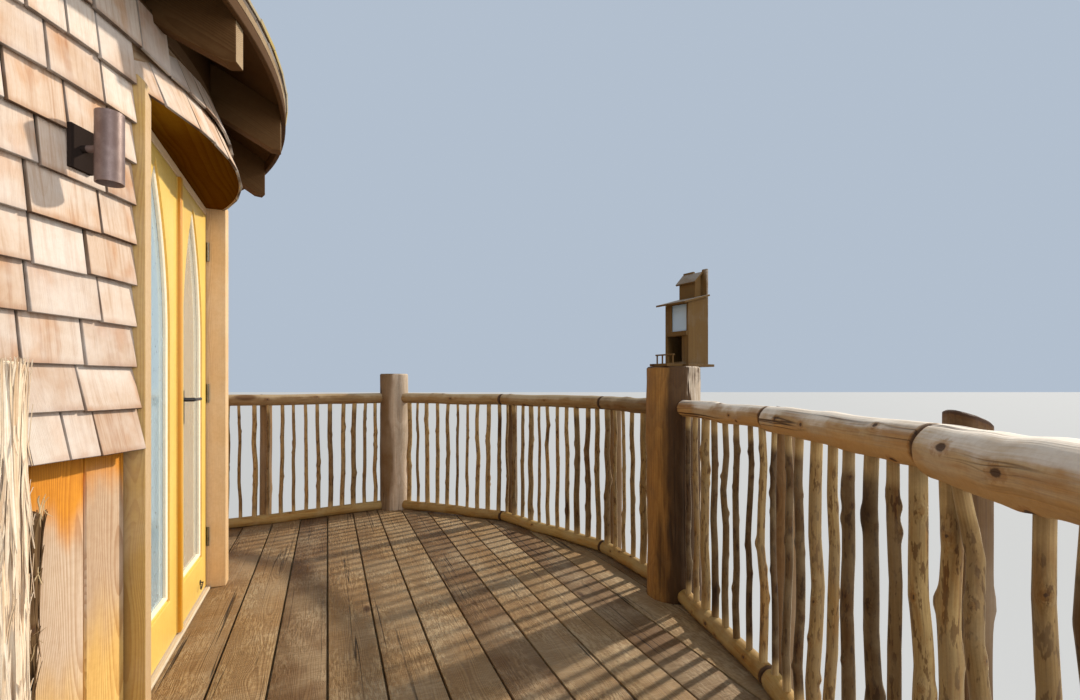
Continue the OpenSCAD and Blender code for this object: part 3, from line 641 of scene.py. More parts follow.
plank_wood = wood("plank_wood", (0.72, 0.57, 0.42), (0.66, 0.50, 0.35), (0.57, 0.41, 0.27),
                  late=(0.62, 0.46, 0.32), crack=(0.08, 0.04, 0.015), ring_density=340.0, rings=0.55,
                  fibres=0.45, knots=0.7, cracks=0.3, rough=(0.5, 0.75), relief=0.5, shape=plank_tint)
deck_wood = wood("deck_wood", (0.50, 0.34, 0.165), (0.38, 0.245, 0.115), (0.24, 0.14, 0.062),
                 late=(0.50, 0.39, 0.27), crack=(0.02, 0.012, 0.007), aged=(0.47, 0.36, 0.22),
                 ring_density=300.0, rings=0.6, fibres=0.6, fibre_density=330.0, knots=0.6, cracks=0.50,
                 crack_density=22.0, aging=0.6, stain_size=2.6, rough=(0.5, 0.8), relief=0.9, depth=0.0035,
                 sawn=0.8)
HONEY_LOG = dict(pale=(0.36, 0.22, 0.10), mid=(0.25, 0.15, 0.065), dark=(0.15, 0.085, 0.036),
                 late=(0.52, 0.40, 0.29), crack=(0.03, 0.015, 0.007), aged=(0.30, 0.22, 0.14),
                 ring_density=210.0, rings=0.25, fibres=0.6, fibre_density=260.0, knots=0.9, cracks=0.5,
                 crack_density=22.0, aging=0.45, stain_size=2.6, relief=0.8, depth=0.002)
far_log = wood("far_log", **HONEY_LOG)
corner_log = wood("corner_log", **HONEY_LOG, shape=sunlit_side_paint)
post_wood = wood("post_wood", (0.10, 0.050, 0.017), (0.08, 0.038, 0.013), (0.06, 0.028, 0.010),
                 late=(0.50, 0.38, 0.27), crack=(0.02, 0.01, 0.005), aged=(0.12, 0.075, 0.038),
                 ring_density=210.0, rings=0.25, fibres=0.7, fibre_density=220.0, knots=1.0, cracks=0.5,
                 crack_density=20.0, aging=0.4, stain_size=3.0, relief=1.0, depth=0.003, shape=post_tint)
PEELED_RAIL = dict(crack=(0.05, 0.025, 0.012), ring_density=260.0, rings=0.3, fibre_density=300.0,
                   knots=1.1, aging=0.5, relief=0.7, depth=0.0018, shape=heart_tint)
# Near rails: a weathered grey top with a painted highlight, and a warm underside as painted shade
rail_wood = wood("rail_wood", (0.60, 0.41, 0.20), (0.52, 0.34, 0.155), (0.42, 0.26, 0.11),
                 late=(0.58, 0.43, 0.28), aged=(0.56, 0.42, 0.26), fibres=0.55, cracks=0.58,
                 crack_density=30.0, crack_width=0.035, stain_size=4.0, top=((0.80, 0.71, 0.59), 0.9),
                 under=((0.56, 0.31, 0.105), 0.75), **PEELED_RAIL)
low_wood = wood("low_wood", (0.52, 0.35, 0.12), (0.44, 0.28, 0.085), (0.33, 0.20, 0.06),
                late=(0.55, 0.42, 0.27), aged=(0.40, 0.29, 0.13), fibres=0.6, cracks=0.4,
                crack_density=18.0, stain_size=6.0, **PEELED_RAIL)
# Far rails: a paler top, as a painted highlight
far_rail = wood("far_rail", (0.38, 0.255, 0.11), (0.30, 0.19, 0.08), (0.22, 0.135, 0.055),
                late=(0.55, 0.42, 0.29), aged=(0.33, 0.23, 0.115), fibres=0.55, cracks=0.42,
                crack_density=18.0, stain_size=4.0, top=((0.50, 0.38, 0.23), 0.7), **PEELED_RAIL)
stick_wood = wood("stick_wood", (0.46, 0.30, 0.115), (0.20, 0.115, 0.04), (0.06, 0.030, 0.012),
                  late=(0.50, 0.40, 0.27), crack=(0.04, 0.02, 0.01), aged=(0.27, 0.185, 0.09),
                  ring_density=300.0, rings=0.2, fibres=0.6, fibre_density=300.0, knots=1.4, cracks=0.3,
                  crack_density=44.0, aging=0.45, stain_size=9.0, relief=0.8, shape=bark_tint, sheen=0.5)
BARK_FIBRE = dict(rings=0.2, fibre_density=160.0, knots=0.3, crack_density=40.0, relief=1.2, depth=0.004)
newel_wood = wood("newel_wood", (0.94, 0.83, 0.65), (0.86, 0.70, 0.50), (0.62, 0.40, 0.20),
                  late=(0.56, 0.40, 0.25), crack=(0.12, 0.055, 0.022), aged=(0.90, 0.79, 0.62),
                  fibres=0.8, cracks=0.5, aging=0.4, stain_size=4.0, **BARK_FIBRE)
stub_wood = wood("stub_wood", (0.86, 0.70, 0.42), (0.20, 0.12, 0.05), (0.10, 0.055, 0.022),
                 late=(0.46, 0.34, 0.23), crack=(0.03, 0.015, 0.008), fibres=0.9, cracks=0.4, **BARK_FIBRE)
PLANED_JAMB = dict(late=(0.66, 0.50, 0.34), crack=(0.07, 0.035, 0.015), ring_density=260.0, rings=0.45,
                   fibres=0.4, cracks=0.3, aging=0.35, stain_size=3.0, rough=(0.5, 0.72))
# The far jamb, the head and the lining get a warm cedar colour, brightened as painted sunlight on the far
# jamb
jamb_wood = wood("jamb_wood", (0.88, 0.64, 0.36), (0.82, 0.57, 0.30), (0.70, 0.46, 0.21),
                 aged=(0.82, 0.64, 0.42), knots=0.6, **PLANED_JAMB)
near_jamb = wood("near_jamb", (0.84, 0.68, 0.46), (0.78, 0.62, 0.40), (0.62, 0.44, 0.24),
                 aged=(0.58, 0.43, 0.26), knots=0.35, shape=painted_shade_side, **PLANED_JAMB)
sill_wood = wood("sill_wood", (0.78, 0.68, 0.52), (0.70, 0.60, 0.45), (0.60, 0.50, 0.36),
                 late=(0.7, 0.6, 0.48), crack=(0.07, 0.035, 0.015), rings=0.3, cracks=0.2,
                 rough=(0.4, 0.6))
OILED = dict(late=(0.58, 0.44, 0.31), crack=(0.03, 0.015, 0.008), ring_density=220.0, fibres=0.5)
OILED_FRAME = dict(rings=0.55, knots=0.8, cracks=0.36, aging=0.4, stain_size=2.2, shape=lit_ends, **OILED)
framing_wood = wood("framing_wood", (0.25, 0.145, 0.065), (0.19, 0.105, 0.045), (0.13, 0.07, 0.028),
                    aged=(0.20, 0.125, 0.06), **OILED_FRAME)
# The rafters, blocking and roof boards get a darker copy of the framing finish, as painted shade under the
# eave
eave_wood = wood("eave_wood", (0.16, 0.085, 0.034), (0.12, 0.062, 0.024), (0.08, 0.040, 0.015),
                 aged=(0.13, 0.072, 0.03), shine=0.05, **OILED_FRAME)
fascia_wood = wood("fascia_wood", (0.115, 0.060, 0.024), (0.09, 0.046, 0.018), (0.065, 0.032, 0.012),
                   rings=0.5, cracks=0.3, shine=0.05, **OILED)
# The underside of the hood gets a very dark base, as painted shade under the hood
soffit_wood = wood("soffit_wood", (0.17, 0.068, 0.004), (0.13, 0.050, 0.003), (0.09, 0.032, 0.002),
                   late=(0.55, 0.36, 0.18), crack=(0.05, 0.02, 0.01), ring_density=60.0, rings=0.4,
                   fibres=0.3, knots=0.3, cracks=0.1, rough=(0.34, 0.5), relief=0.2, shine=0.0,
                   shape=soffit_tint)
bird_wood = wood("bird_wood", (0.16, 0.085, 0.021), (0.125, 0.064, 0.015), (0.085, 0.042, 0.010),
                 late=(0.6, 0.46, 0.32), crack=(0.04, 0.02, 0.01), aged=(0.13, 0.078, 0.03),
                 top=((0.34, 0.30, 0.25), 0.7), ring_density=190.0, rings=0.5, fibres=0.4, knots=0.6,
                 cracks=0.3, aging=0.3, stain_size=6.0, depth=0.001)
print("wood finishes:", len([m for m in bpy.data.materials if m.name.endswith(("wood", "cedar", "log"))]))

# %% [markdown]
# The rest is paint, glass and metal. The doors are brushed with a satin yellow that lets a little grain
# show, and the cover strip where the leaves meet is painted a stronger orange, as painted shade. The tints
# of the two door panes, colder on the left leaf than on the right, are painted reflections, and the pane of
# the bird house is an opaque blue, a painted reflection of the sky. The lamp is bronze-brown metal on an
# almost black plate, and the zinc of the hinges has gone brassy.

# %% Paint, glass and metal
LEAF_FRONT = max(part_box("left_door")[0].y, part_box("right_door")[0].y)
ASTRAGAL_SHADE = (0.60, 0.25, 0.004)


def door_paint(name, colour, shade):
    """Satin paint on wood: brush marks, faint grain and a little dirt."""
    material, g, shader = new_material(name)
    tone = g.attribute("tone")
    grain = g.attribute("grain", "Vector")
    figure = placed(g, FIGURE, Grain=grain, Tone=tone, Ring_density=110.0, Fibre_density=260.0, Knots=0.3)
    place = g.place()
    stain = placed(g, STAIN, Place=place, Size=3.0, Tone=tone)
    base = g.mix(g.out(figure, "Rings") * 0.22, colour, shade)
    x, y = g.split(place)[:2]
    # Painted shade: the cover strip where the leaves meet is painted a deep orange
    middle = g.fit(g.math("ABSOLUTE", x), 0.034, 0.030)
    strip = g.fit(y, LEAF_FRONT - 0.0015, LEAF_FRONT - 0.0025) * middle
    base = g.mix(strip, base, ASTRAGAL_SHADE)
    base = g.mix(g.out(stain, "Stain") * 0.25, base, shade)
    base = g.mix(g.out(stain, "Speckle") * 0.10, base, (0.30, 0.19, 0.06))
    g.put(shader.inputs["Base Color"], base)
    g.put(shader.inputs["Roughness"], g.fit(g.out(figure, "Fibres"), 0.3, 0.8, 0.48, 0.34))
    height = g.out(figure, "Fibres") + g.out(figure, "Rings") * 0.5
    bump = g.fill(g.node("ShaderNodeBump"), Height=height, Strength=0.45, Distance=0.0006)
    g.put(shader.inputs["Normal"], g.out(bump))
    return material


def dark_plate(g, base, place):
    """The back plate of the lamp, close to the wall, is almost black."""
    x, y = g.split(place)[:2]
    far = g.math("SQRT", x * x + y * y)
    dull = g.fit(far, cabin_r + 0.030, cabin_r + 0.026)
    return g.mix(dull, base, (0.030, 0.021, 0.017)), 1.0 - dull


def metal(name, colour, worn, rough, metallic, shape=None):
    """Metal with a faint brushed wear and darker marks."""
    material, g, shader = new_material(name)
    place = g.place()
    stain = placed(g, STAIN, Place=place, Size=18.0, Tone=0.3)
    base = g.mix(g.out(stain, "Stain"), colour, worn)
    shader.inputs["Metallic"].default_value = metallic
    if shape:
        base, shining = shape(g, base, place)
        g.put(shader.inputs["Metallic"], shining * metallic)
        g.put(shader.inputs["Specular IOR Level"], shining * 0.5)
    base = g.tinted(g.out(stain, "Speckle") * 0.2, base, (0.5, 0.45, 0.4))
    g.put(shader.inputs["Base Color"], base)
    g.put(shader.inputs["Roughness"], g.fit(g.out(stain, "Speckle"), 0.0, 1.0, rough, rough + 0.15))
    bump = g.fill(g.node("ShaderNodeBump"), Height=g.out(stain, "Speckle"), Strength=0.2, Distance=0.0004)
    g.put(shader.inputs["Normal"], g.out(bump))
    return material


def window_glass(name, colour, clear=0.55):
    """Clear glass with a tint, dried drops and dark specks."""
    material, g, shader = new_material(name)
    place = g.place()
    drops = g.noise(place, 90.0, 3.0, 0.6)
    specks = g.noise(g.vector("MULTIPLY", place, (1.0, 1.0, 0.45)), 75.0, 2.0, 0.7)
    base = g.mix(g.fit(specks, 0.66, 0.72) * 0.75, colour, (0.10, 0.12, 0.12))
    g.put(shader.inputs["Base Color"], base)
    shader.inputs["Transmission Weight"].default_value = clear
    shader.inputs["IOR"].default_value = 1.5
    g.put(shader.inputs["Roughness"], g.fit(drops, 0.55, 0.75, 0.06, 0.25))
    return material


yellow_paint = door_paint("yellow_paint", (0.85, 0.57, 0.13), (0.66, 0.38, 0.05))
bead_paint = door_paint("bead_paint", (0.93, 0.83, 0.62), (0.86, 0.70, 0.42))
bronze_metal = metal("bronze_metal", (0.17, 0.105, 0.085), (0.235, 0.16, 0.135), 0.36, 0.3, dark_plate)
zinc_metal = metal("zinc_metal", (0.34, 0.29, 0.20), (0.22, 0.18, 0.12), 0.32, 0.85)
dark_metal = metal("dark_metal", (0.030, 0.028, 0.026), (0.06, 0.052, 0.045), 0.34, 0.4)
lead_metal = metal("lead_metal", (0.30, 0.31, 0.32), (0.22, 0.22, 0.23), 0.5, 0.7)
# The tints of the panes are painted reflections: colder on the left leaf, warmer on the right, and the sky
# on the opaque pane of the bird house
cold_glass = window_glass("cold_glass", (0.62, 0.78, 0.84))
warm_glass = window_glass("warm_glass", (0.80, 0.74, 0.60))
sky_glass = window_glass("sky_glass", (0.36, 0.48, 0.60), 0.0)

# %% [markdown]
# A piece is a mesh at the origin that rides on a body of the frame and carries its finish. Wood pieces need
# their grain and tone on the mesh before they are shown.

# %% Making a piece
def write_attribute(mesh, name, values):
    """Stores one number or one vector for each corner of a mesh."""
    values = np.ascontiguousarray(values, np.float32)
    if values.ndim == 2:
        mesh.attributes.new(name, "FLOAT_VECTOR", "POINT").data.foreach_set("vector", values.ravel())
    else:
        mesh.attributes.new(name, "FLOAT", "POINT").data.foreach_set("value", values)


def add_piece(name, mesh, material, body="root", replaces=(), sharp=35):
    """Shows a mesh as a piece of the tree house."""
    if material:
        mesh.materials.clear()
        mesh.materials.append(material)
    mesh.shade_smooth()
    mesh.set_sharp_from_angle(angle=math.radians(sharp))
    piece = bpy.data.objects.new(name, mesh)
    scene.collection.objects.link(piece)
    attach(piece, body)
    if replaces:
        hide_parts(*replaces)
    print(name, "faces", len(mesh.polygons))
    return piece


def raw_mesh(name, rows, faces, grain, tone):
    """A mesh from corners and faces, with the grain and tone that wood needs."""
    mesh = bpy.data.meshes.new(name)
    mesh.from_pydata(np.asarray(rows).tolist(), [], [tuple(int(i) for i in face) for face in faces])
    write_attribute(mesh, "grain", grain)
    write_attribute(mesh, "tone", tone)
    return mesh


def joined(parts):
    """Several (corners, faces, grain, tone, knot) parts as one."""
    rows, faces, grain, tone, knot = [], [], [], [], []
    start = 0
    for part_rows, part_faces, part_grain, part_tone, part_knot in parts:
        rows.append(part_rows)
        faces += [[i + start for i in face] for face in part_faces]
        grain.append(part_grain)
        tone.append(np.full(len(part_rows), part_tone))
        knot.append(part_knot)
        start += len(part_rows)
    return np.concatenate(rows), faces, *(np.concatenate(values) for values in (grain, tone, knot))


# %% [markdown]
# Sawn timber comes straight from the solids: each solid is copied, its edges are eased with a small
# bevel, and its longest direction becomes the grain. The pith of a sawn board lies somewhere beside it,
# which is why its rings draw arches on the face, so the grain is moved by a random step.

# %% Sawn timber from the solids
def ease(bm, width, segments=1, only=None):
    """Bevels the sharp edges of a mesh."""
    sharp = [e for e in bm.edges if len(e.link_faces) == 2 and e.calc_face_angle() > math.radians(30)]
    if only:
        sharp = [e for e in sharp if only(e)]
    if width and sharp:
        bmesh.ops.bevel(bm, geom=sharp, offset=width, segments=segments, profile=0.6,
                        affect="EDGES", clamp_overlap=True)


def board_axes(rows):
    """The middle of a board and its directions: thickness, width and length."""
    middle = (rows.min(0) + rows.max(0)) / 2
    spread = rows - rows.mean(0)
    directions = np.linalg.eigh(spread.T @ spread)[1]
    return middle, directions


def grain_of(bm, rng, along=None, pith=0.09):
    """Grain and tone for each board of a mesh, in the order of its corners."""
    bm.verts.index_update()
    grain = np.zeros((len(bm.verts), 3))
    tone = np.zeros(len(bm.verts))
    for part in loose_parts(bm):
        index = [v.index for v in part]
        rows = np.array([v.co for v in part])
        middle, directions = board_axes(rows)
        if along is not None:
            length = np.array(along, float)
            side = np.cross(length, [0.3, 0.2, 1.0] if abs(length[2]) < 0.9 else [1.0, 0.0, 0.0])
            side /= np.linalg.norm(side)
            directions = np.stack([np.cross(side, length), side, length], 1)
        shift = np.array([pith * rng.uniform(0.5, 1.2), pith * rng.uniform(-0.5, 0.5), rng.uniform(0, 40)])
        grain[index] = (rows - middle) @ directions + shift
        tone[index] = rng.random()
    return grain, tone


def to_mesh(bm, name, grain, tone):
    """A working mesh written out, with the grain and tone that wood needs."""
    mesh = bpy.data.meshes.new(name)
    bm.to_mesh(mesh)
    bm.free()
    write_attribute(mesh, "grain", grain)
    write_attribute(mesh, "tone", tone)
    return mesh


def timber(node, name, material, bevel, seed, along=None, body="root", change=None, segments=1):
    """A copy of a solid as sawn timber."""
    bm = merged(node)
    if change:
        change(bm)
    ease(bm, bevel, segments)
    grain, tone = grain_of(bm, np.random.default_rng(seed), along)
    mesh = to_mesh(bm, name, grain, tone)
    return add_piece(name, mesh, material, body, (node,))


timber("beams", "beams_sawn", framing_wood, 0.004, 11)
timber("joists", "joists_sawn", framing_wood, 0.003, 12, along=(0, 1, 0))
timber("rim_board", "rim_boards", framing_wood, 0.003, 13)
timber("door_head", "head_beam", jamb_wood, 0.003, 14)
timber("left_jamb", "left_post", near_jamb, 0.004, 15, segments=2)
timber("right_jamb", "right_post", jamb_wood, 0.004, 16, segments=2)
timber("threshold", "door_sill", sill_wood, 0.003, 17)
timber("wall_plate", "plate_ring", framing_wood, 0.003, 18)
timber("rafters", "rafter_tails", eave_wood, 0.004, 19)
timber("eave_blocking", "blocking", eave_wood, 0.002, 20)
timber("roof_boards", "roof_deck", eave_wood, 0.0, 21)
timber("eave_fascia", "fascia", fascia_wood, 0.003, 22)
timber("roof_hub", "hub", framing_wood, 0.006, 23, along=(0, 0, 1))

# The felt behind the wall shingles and under the roof shingles is near black: partly the colour of tar felt,
# partly painted shade for the depth of the joints between shingles
felt, _, felt_shader = new_material("felt")
felt_shader.inputs["Base Color"].default_value = (0.028, 0.019, 0.013, 1)
felt_shader.inputs["Roughness"].default_value = 0.9

# %% [markdown]
# Floors are boards laid side by side. The plan of the deck, with its curved edge and the holes for the
# posts, is already in the solid, so each board is a slice of it: the copy is cut by two planes, the
# cuts are closed, and the upper edges are eased where feet and rain have worn them. The boards meet in
# a rebate at the bottom, so the joints look dark from above.

# %% Deck and cabin floor in boards
def slice_of(source, low, high):
    """The part of a mesh between two corners of a box; None leaves a side open."""
    bm = source.copy()
    for corner, sign in ((low, -1), (high, 1)):
        for axis, value in enumerate(corner):
            if value is None:
                continue
            place = Vector((0, 0, 0))
            place[axis] = value
            outward = Vector((0, 0, 0))
            outward[axis] = sign
            cut = bmesh.ops.bisect_plane(bm, geom=bm.verts[:] + bm.edges[:] + bm.faces[:], dist=1e-6,
                                         plane_co=place, plane_no=outward, clear_outer=True)
            edges = [e for e in cut["geom_cut"] if isinstance(e, bmesh.types.BMEdge) and e.is_boundary]
            if edges:
                bmesh.ops.holes_fill(bm, edges=edges, sides=0)
    return bm


def stack(target, part):
    """Adds one mesh to another."""
    spare = bpy.data.meshes.new("spare")
    part.to_mesh(spare)
    part.free()
    target.from_mesh(spare)
    bpy.data.meshes.remove(spare)


# The height of the rebate, the worn edge of a board, and the width below which a board is left out
REBATE = 0.008
WORN_EDGE = 0.004
SLIVER = 0.02


def floor_boards(node, name, pitch, gap, seed, first):
    """Boards along X cut from a floor, each with its own grain."""
    source = merged(node)
    low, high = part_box(node)
    whole = bmesh.new()
    y = first
    while y < high.y:
        if y + pitch > low.y + SLIVER:
            part = slice_of(source, (None, y + gap / 2, low.z + REBATE), (None, y + pitch - gap / 2, None))
            ease(part, WORN_EDGE, 2, lambda e: min(v.co.z for v in e.verts) > high.z - MM)
            stack(whole, part)
        y += pitch
    stack(whole, slice_of(source, (None, None, None), (None, None, low.z + REBATE - MM / 2)))
    source.free()
    grain, tone = grain_of(whole, np.random.default_rng(seed), along=(1, 0, 0), pith=0.07)
    mesh = to_mesh(whole, name, grain, tone)
    return add_piece(name, mesh, deck_wood, replaces=(node,))


BOARD = 0.200
BOARD_GAP = 0.009
FIRST_BOARD_CUT = 0.06
CABIN_BOARD = 0.14
CABIN_GAP = 0.002
first_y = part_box("deck_floor")[0].y - FIRST_BOARD_CUT
floor_boards("deck_floor", "deck_boards", BOARD, BOARD_GAP, 31, first_y)
floor_boards("cabin_floor", "cabin_boards", CABIN_BOARD, CABIN_GAP, 32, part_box("cabin_floor")[0].y)

# %% [markdown]
# Shingles, planks and roof shingles are all the same job: rows of pieces of random width laid round a
# circle. One Geometry Nodes tree does it. Each row is a point at its radius and height with a few
# numbers: how many pieces, where the row starts, how far it goes and how much it leans. The tree copies
# the point once for each piece, gives each a random share of the row, adds the shares up to find its
# angle, and lays a blank there. Where the hood bows out, the row follows the arc if that lies further
# out than the wall.

# %% A tree that lays courses
def laid_courses():
    """The tree: loose points with numbers in, shingles or boards out."""
    g, given, result = new_group(
        "laid_courses",
        [("Rows", "Geometry", None), ("Blank", "Object", None), ("Blank width", "Float", 0.12),
         ("Joint", "Float", 0.004), ("Uneven", "Float", 0.3), ("Drop", "Float", 0.002),
         ("Wobble", "Float", 0.006), ("Bow centre", "Float", 0.0), ("Seed", "Int", 1),
         ("Material", "Material", None)],
        [("Pieces", "Geometry")], "GeometryNodeTree")

    def stored(geometry, name, value, kind="FLOAT"):
        made = g.node("GeometryNodeStoreNamedAttribute", data_type=kind, domain="POINT")
        g.fill(made, Geometry=geometry, Name=name, Value=value)
        return g.out(made)

    def named(name, kind="FLOAT"):
        made = g.node("GeometryNodeInputNamedAttribute", data_type=kind)
        made.inputs["Name"].default_value = name
        return g.out(made)

    def chance(low, high, step):
        made = g.node("FunctionNodeRandomValue", data_type="FLOAT")
        for index, value in ((2, low), (3, high), (8, g.out(given, "Seed") + step)):
            g.put(made.inputs[index], value)
        return g.out(made, 1)

    rows = stored(g.out(given, "Rows"), "row", g.out(g.node("GeometryNodeInputIndex")))
    copies = g.fill(g.node("GeometryNodeDuplicateElements", domain="POINT"), Geometry=rows,
                    Amount=named("count"))
    uneven = g.out(given, "Uneven")
    points = stored(g.out(copies), "share", chance(1.0 - uneven, 1.0 + uneven, 1))
    adding = g.fill(g.node("GeometryNodeAccumulateField"), Value=named("share"), Group_ID=named("row"))
    share = named("share")
    total = g.out(adding, "Total")
    x, _, z = g.split(g.out(g.node("GeometryNodeInputPosition")))
    angle = named("start") + named("sweep") * (g.out(adding, "Trailing") + share * 0.5) / total
    centre = g.out(given, "Bow centre")
    turn = angle + math.pi / 2
    aside = centre * g.math("SINE", turn)
    bow = named("bow")
    beyond = g.math("SQRT", g.math("MAXIMUM", bow * bow - aside * aside, 0.0))
    reach = centre * g.math("COSINE", turn) + beyond
    reach = reach * g.math("GREATER_THAN", bow, 0.0)
    bowed = g.math("GREATER_THAN", reach, x)
    radius = g.math("MAXIMUM", x, reach)
    px = radius * g.math("COSINE", angle)
    py = radius * g.math("SINE", angle)
    facing = g.math("ARCTAN2", py + centre, px)
    facing = facing * bowed + angle * (1.0 - bowed)
    points = stored(points, "facing", facing)
    points = stored(points, "tilt", named("lean") + named("bow_lean") * bowed)
    wide = (named("sweep") * share / total * radius - g.out(given, "Joint")) / g.out(given, "Blank width")
    points = stored(points, "wide", wide)
    points = stored(points, "tone", chance(0.0, 1.0, 2))
    shift = g.xyz(chance(0.03, 0.12, 3), chance(-0.08, 0.08, 4), chance(0.0, 50.0, 5))
    points = stored(points, "shift", shift, "FLOAT_VECTOR")
    drop = g.out(given, "Drop")
    moved = g.fill(g.node("GeometryNodeSetPosition"), Geometry=points,
                   Position=g.xyz(px, py, z + chance(drop * -1.0, drop, 6)))
    source = g.fill(g.node("GeometryNodeObjectInfo"), Object=g.out(given, "Blank"))
    wobble = g.out(given, "Wobble")
    euler = g.xyz(chance(wobble * -1.0, wobble, 7), chance(wobble * -1.0, wobble, 8) - named("tilt"),
                  named("facing"))
    rotation = g.fill(g.node("FunctionNodeEulerToRotation"), Euler=euler)
    pieces = g.fill(g.node("GeometryNodeInstanceOnPoints"), Points=g.out(moved),
                    Instance=g.out(source, "Geometry"), Rotation=g.out(rotation),
                    Scale=g.xyz(chance(0.85, 1.25, 9), named("wide"), named("long")))
    real = g.fill(g.node("GeometryNodeRealizeInstances"), Geometry=g.out(pieces))
    sized = g.vector("MULTIPLY", named("grain", "FLOAT_VECTOR"), g.xyz(1.0, named("wide"), named("long")))
    grain = g.vector("ADD", sized, named("shift", "FLOAT_VECTOR"))
    done = stored(g.out(real), "grain", grain, "FLOAT_VECTOR")
    coated = g.fill(g.node("GeometryNodeSetMaterial"), Geometry=done, Material=g.out(given, "Material"))
    g.put(result.inputs["Pieces"], g.out(coated))
    return g.tree


COURSES = laid_courses()
print("tree:", COURSES.name, "nodes", len(COURSES.nodes))

# %% [markdown]
# The tree needs an object to work on, with the rows as loose points, and a blank to copy. Its inputs
# are set by their identifiers before the object is first evaluated, and the result is taken as a plain
# mesh, because the export drops instances. The numbers that only the tree needs are then removed.

# %% Running the tree
SPARE_NUMBERS = {"row", "share", "facing", "wide", "shift", "count", "start", "sweep", "lean", "bow",
                 "bow_lean", "tilt", "long"}


def run_tree(tree, name, mesh, **values):
    """The plain mesh that a tree makes from a starting mesh and its inputs."""
    start = bpy.data.objects.new(name, mesh)
    scene.collection.objects.link(start)
    modifier = start.modifiers.new("tree", "NODES")
    modifier.node_group = tree
    for item in tree.interface.items_tree:
        key = item.name.replace(" ", "_")
        if item.in_out == "INPUT" and key in values:
            modifier[item.identifier] = values[key]
    bpy.context.view_layer.update()
    evaluated = start.evaluated_get(bpy.context.evaluated_depsgraph_get())
    made = bpy.data.meshes.new_from_object(evaluated)
    start.modifiers.remove(modifier)
    bpy.data.objects.remove(start)
    if "Blank" in values:
        bpy.data.objects.remove(values["Blank"])
    made.name = name
    for attribute in [a.name for a in made.attributes if a.name in SPARE_NUMBERS]:
        made.attributes.remove(made.attributes[attribute])
    return made


def point_rows(rows, **values):
    """A mesh of loose points with numbers on each."""
    mesh = bpy.data.meshes.new("rows")
    mesh.from_pydata([tuple(row) for row in rows], [], [])
    for key, value in values.items():
        write_attribute(mesh, key, np.array(value, float))
    return mesh


def blank(name, width, length, butt, tip, ease_by, inward=False):
    """A tapered board: its back at x = 0, its lower end at z = 0, and its grain along Z."""
    bm = bmesh.new()
    bmesh.ops.create_cube(bm, size=1.0)
    for vert in bm.verts:
        top = vert.co.z > 0
        front = vert.co.x > 0
        thick = tip if top else butt
        back = -(butt - tip) * 0.5 if top else 0.0
        vert.co = (back + (thick if front else 0.0), vert.co.y * width, length if top else 0.0)
        if inward:
            vert.co.x = -vert.co.x
    if inward:
        bmesh.ops.reverse_faces(bm, faces=bm.faces[:])
    ease(bm, ease_by)
    mesh = bpy.data.meshes.new(name)
    bm.to_mesh(mesh)
    bm.free()
    write_attribute(mesh, "grain", np.array([v.co for v in mesh.vertices]))
    write_attribute(mesh, "up", np.array([v.co.z / length for v in mesh.vertices]))
    write_attribute(mesh, "side", np.array([2 * v.co.y / width for v in mesh.vertices]))
    made = bpy.data.objects.new(name, mesh)
    scene.collection.objects.link(made)
    return made


def course(radius, z, lean, start, sweep, width, bow=0.0, long=1.0, bow_lean=0.0):
    """One row for the tree; width is about how wide each of its pieces is."""
    return dict(place=(radius, 0, z), count=round(abs(sweep) * radius / width), lean=lean, start=start,
                sweep=sweep, bow=bow, long=long, bow_lean=bow_lean)


def lay(name, rows, piece, width, material, joint, uneven, drop=0.0, wobble=0.0, bow_centre=0.0,
        seed=1):
    """Lays rows of copies of one blank and shows them as a piece."""
    numbers = {key: [row[key] for row in rows] for key in rows[0] if key != "place"}
    points = point_rows([row["place"] for row in rows], **numbers)
    mesh = run_tree(COURSES, name, points, Blank=piece, Blank_width=width, Joint=joint, Uneven=uneven,
                    Drop=drop, Wobble=wobble, Bow_centre=bow_centre, Seed=seed, Material=material)
    return add_piece(name, mesh, None)


# %% [markdown]
# The wall needs the heights of its courses: eleven, 129 mm apart, from the flare up to the rafters. A
# shingle is about 11 mm thick at its butt and runs up behind the next one, so its face leans in by the
# thickness over the exposure. Over the doors two courses follow the bow. The planks below are one row,
# and so are the boards inside.

# %% Shingles, planks and boards on the wall
WALL_COURSES = 11
EXPOSURE = (wall_top - flare_z) / WALL_COURSES
SHINGLE_W = 0.150
SHINGLE_BUTT = 0.0105
SHINGLE_TIP = 0.006
SHINGLE_LAP = 0.035
SHINGLE_EDGE = 0.0012
# How far the butts stand out from the solid wall, and how far below their line they hang
PROUD = 0.004
DROP_LINE = 0.003
LEAN = math.atan(SHINGLE_BUTT / EXPOSURE)
left_turn = math.asin(left_out / cabin_r)
right_turn = math.asin(right_out / cabin_r)
FRONT = -math.pi / 2
WALL_START = FRONT + right_turn
WALL_SWEEP = 2 * math.pi - right_turn - left_turn


def wall_radius(z):
    """The face of the shingled wall at a height."""
    if z >= flare_top:
        return cabin_r
    return cabin_r + (flare_r - cabin_r) * (flare_top - z) / (flare_top - flare_z)


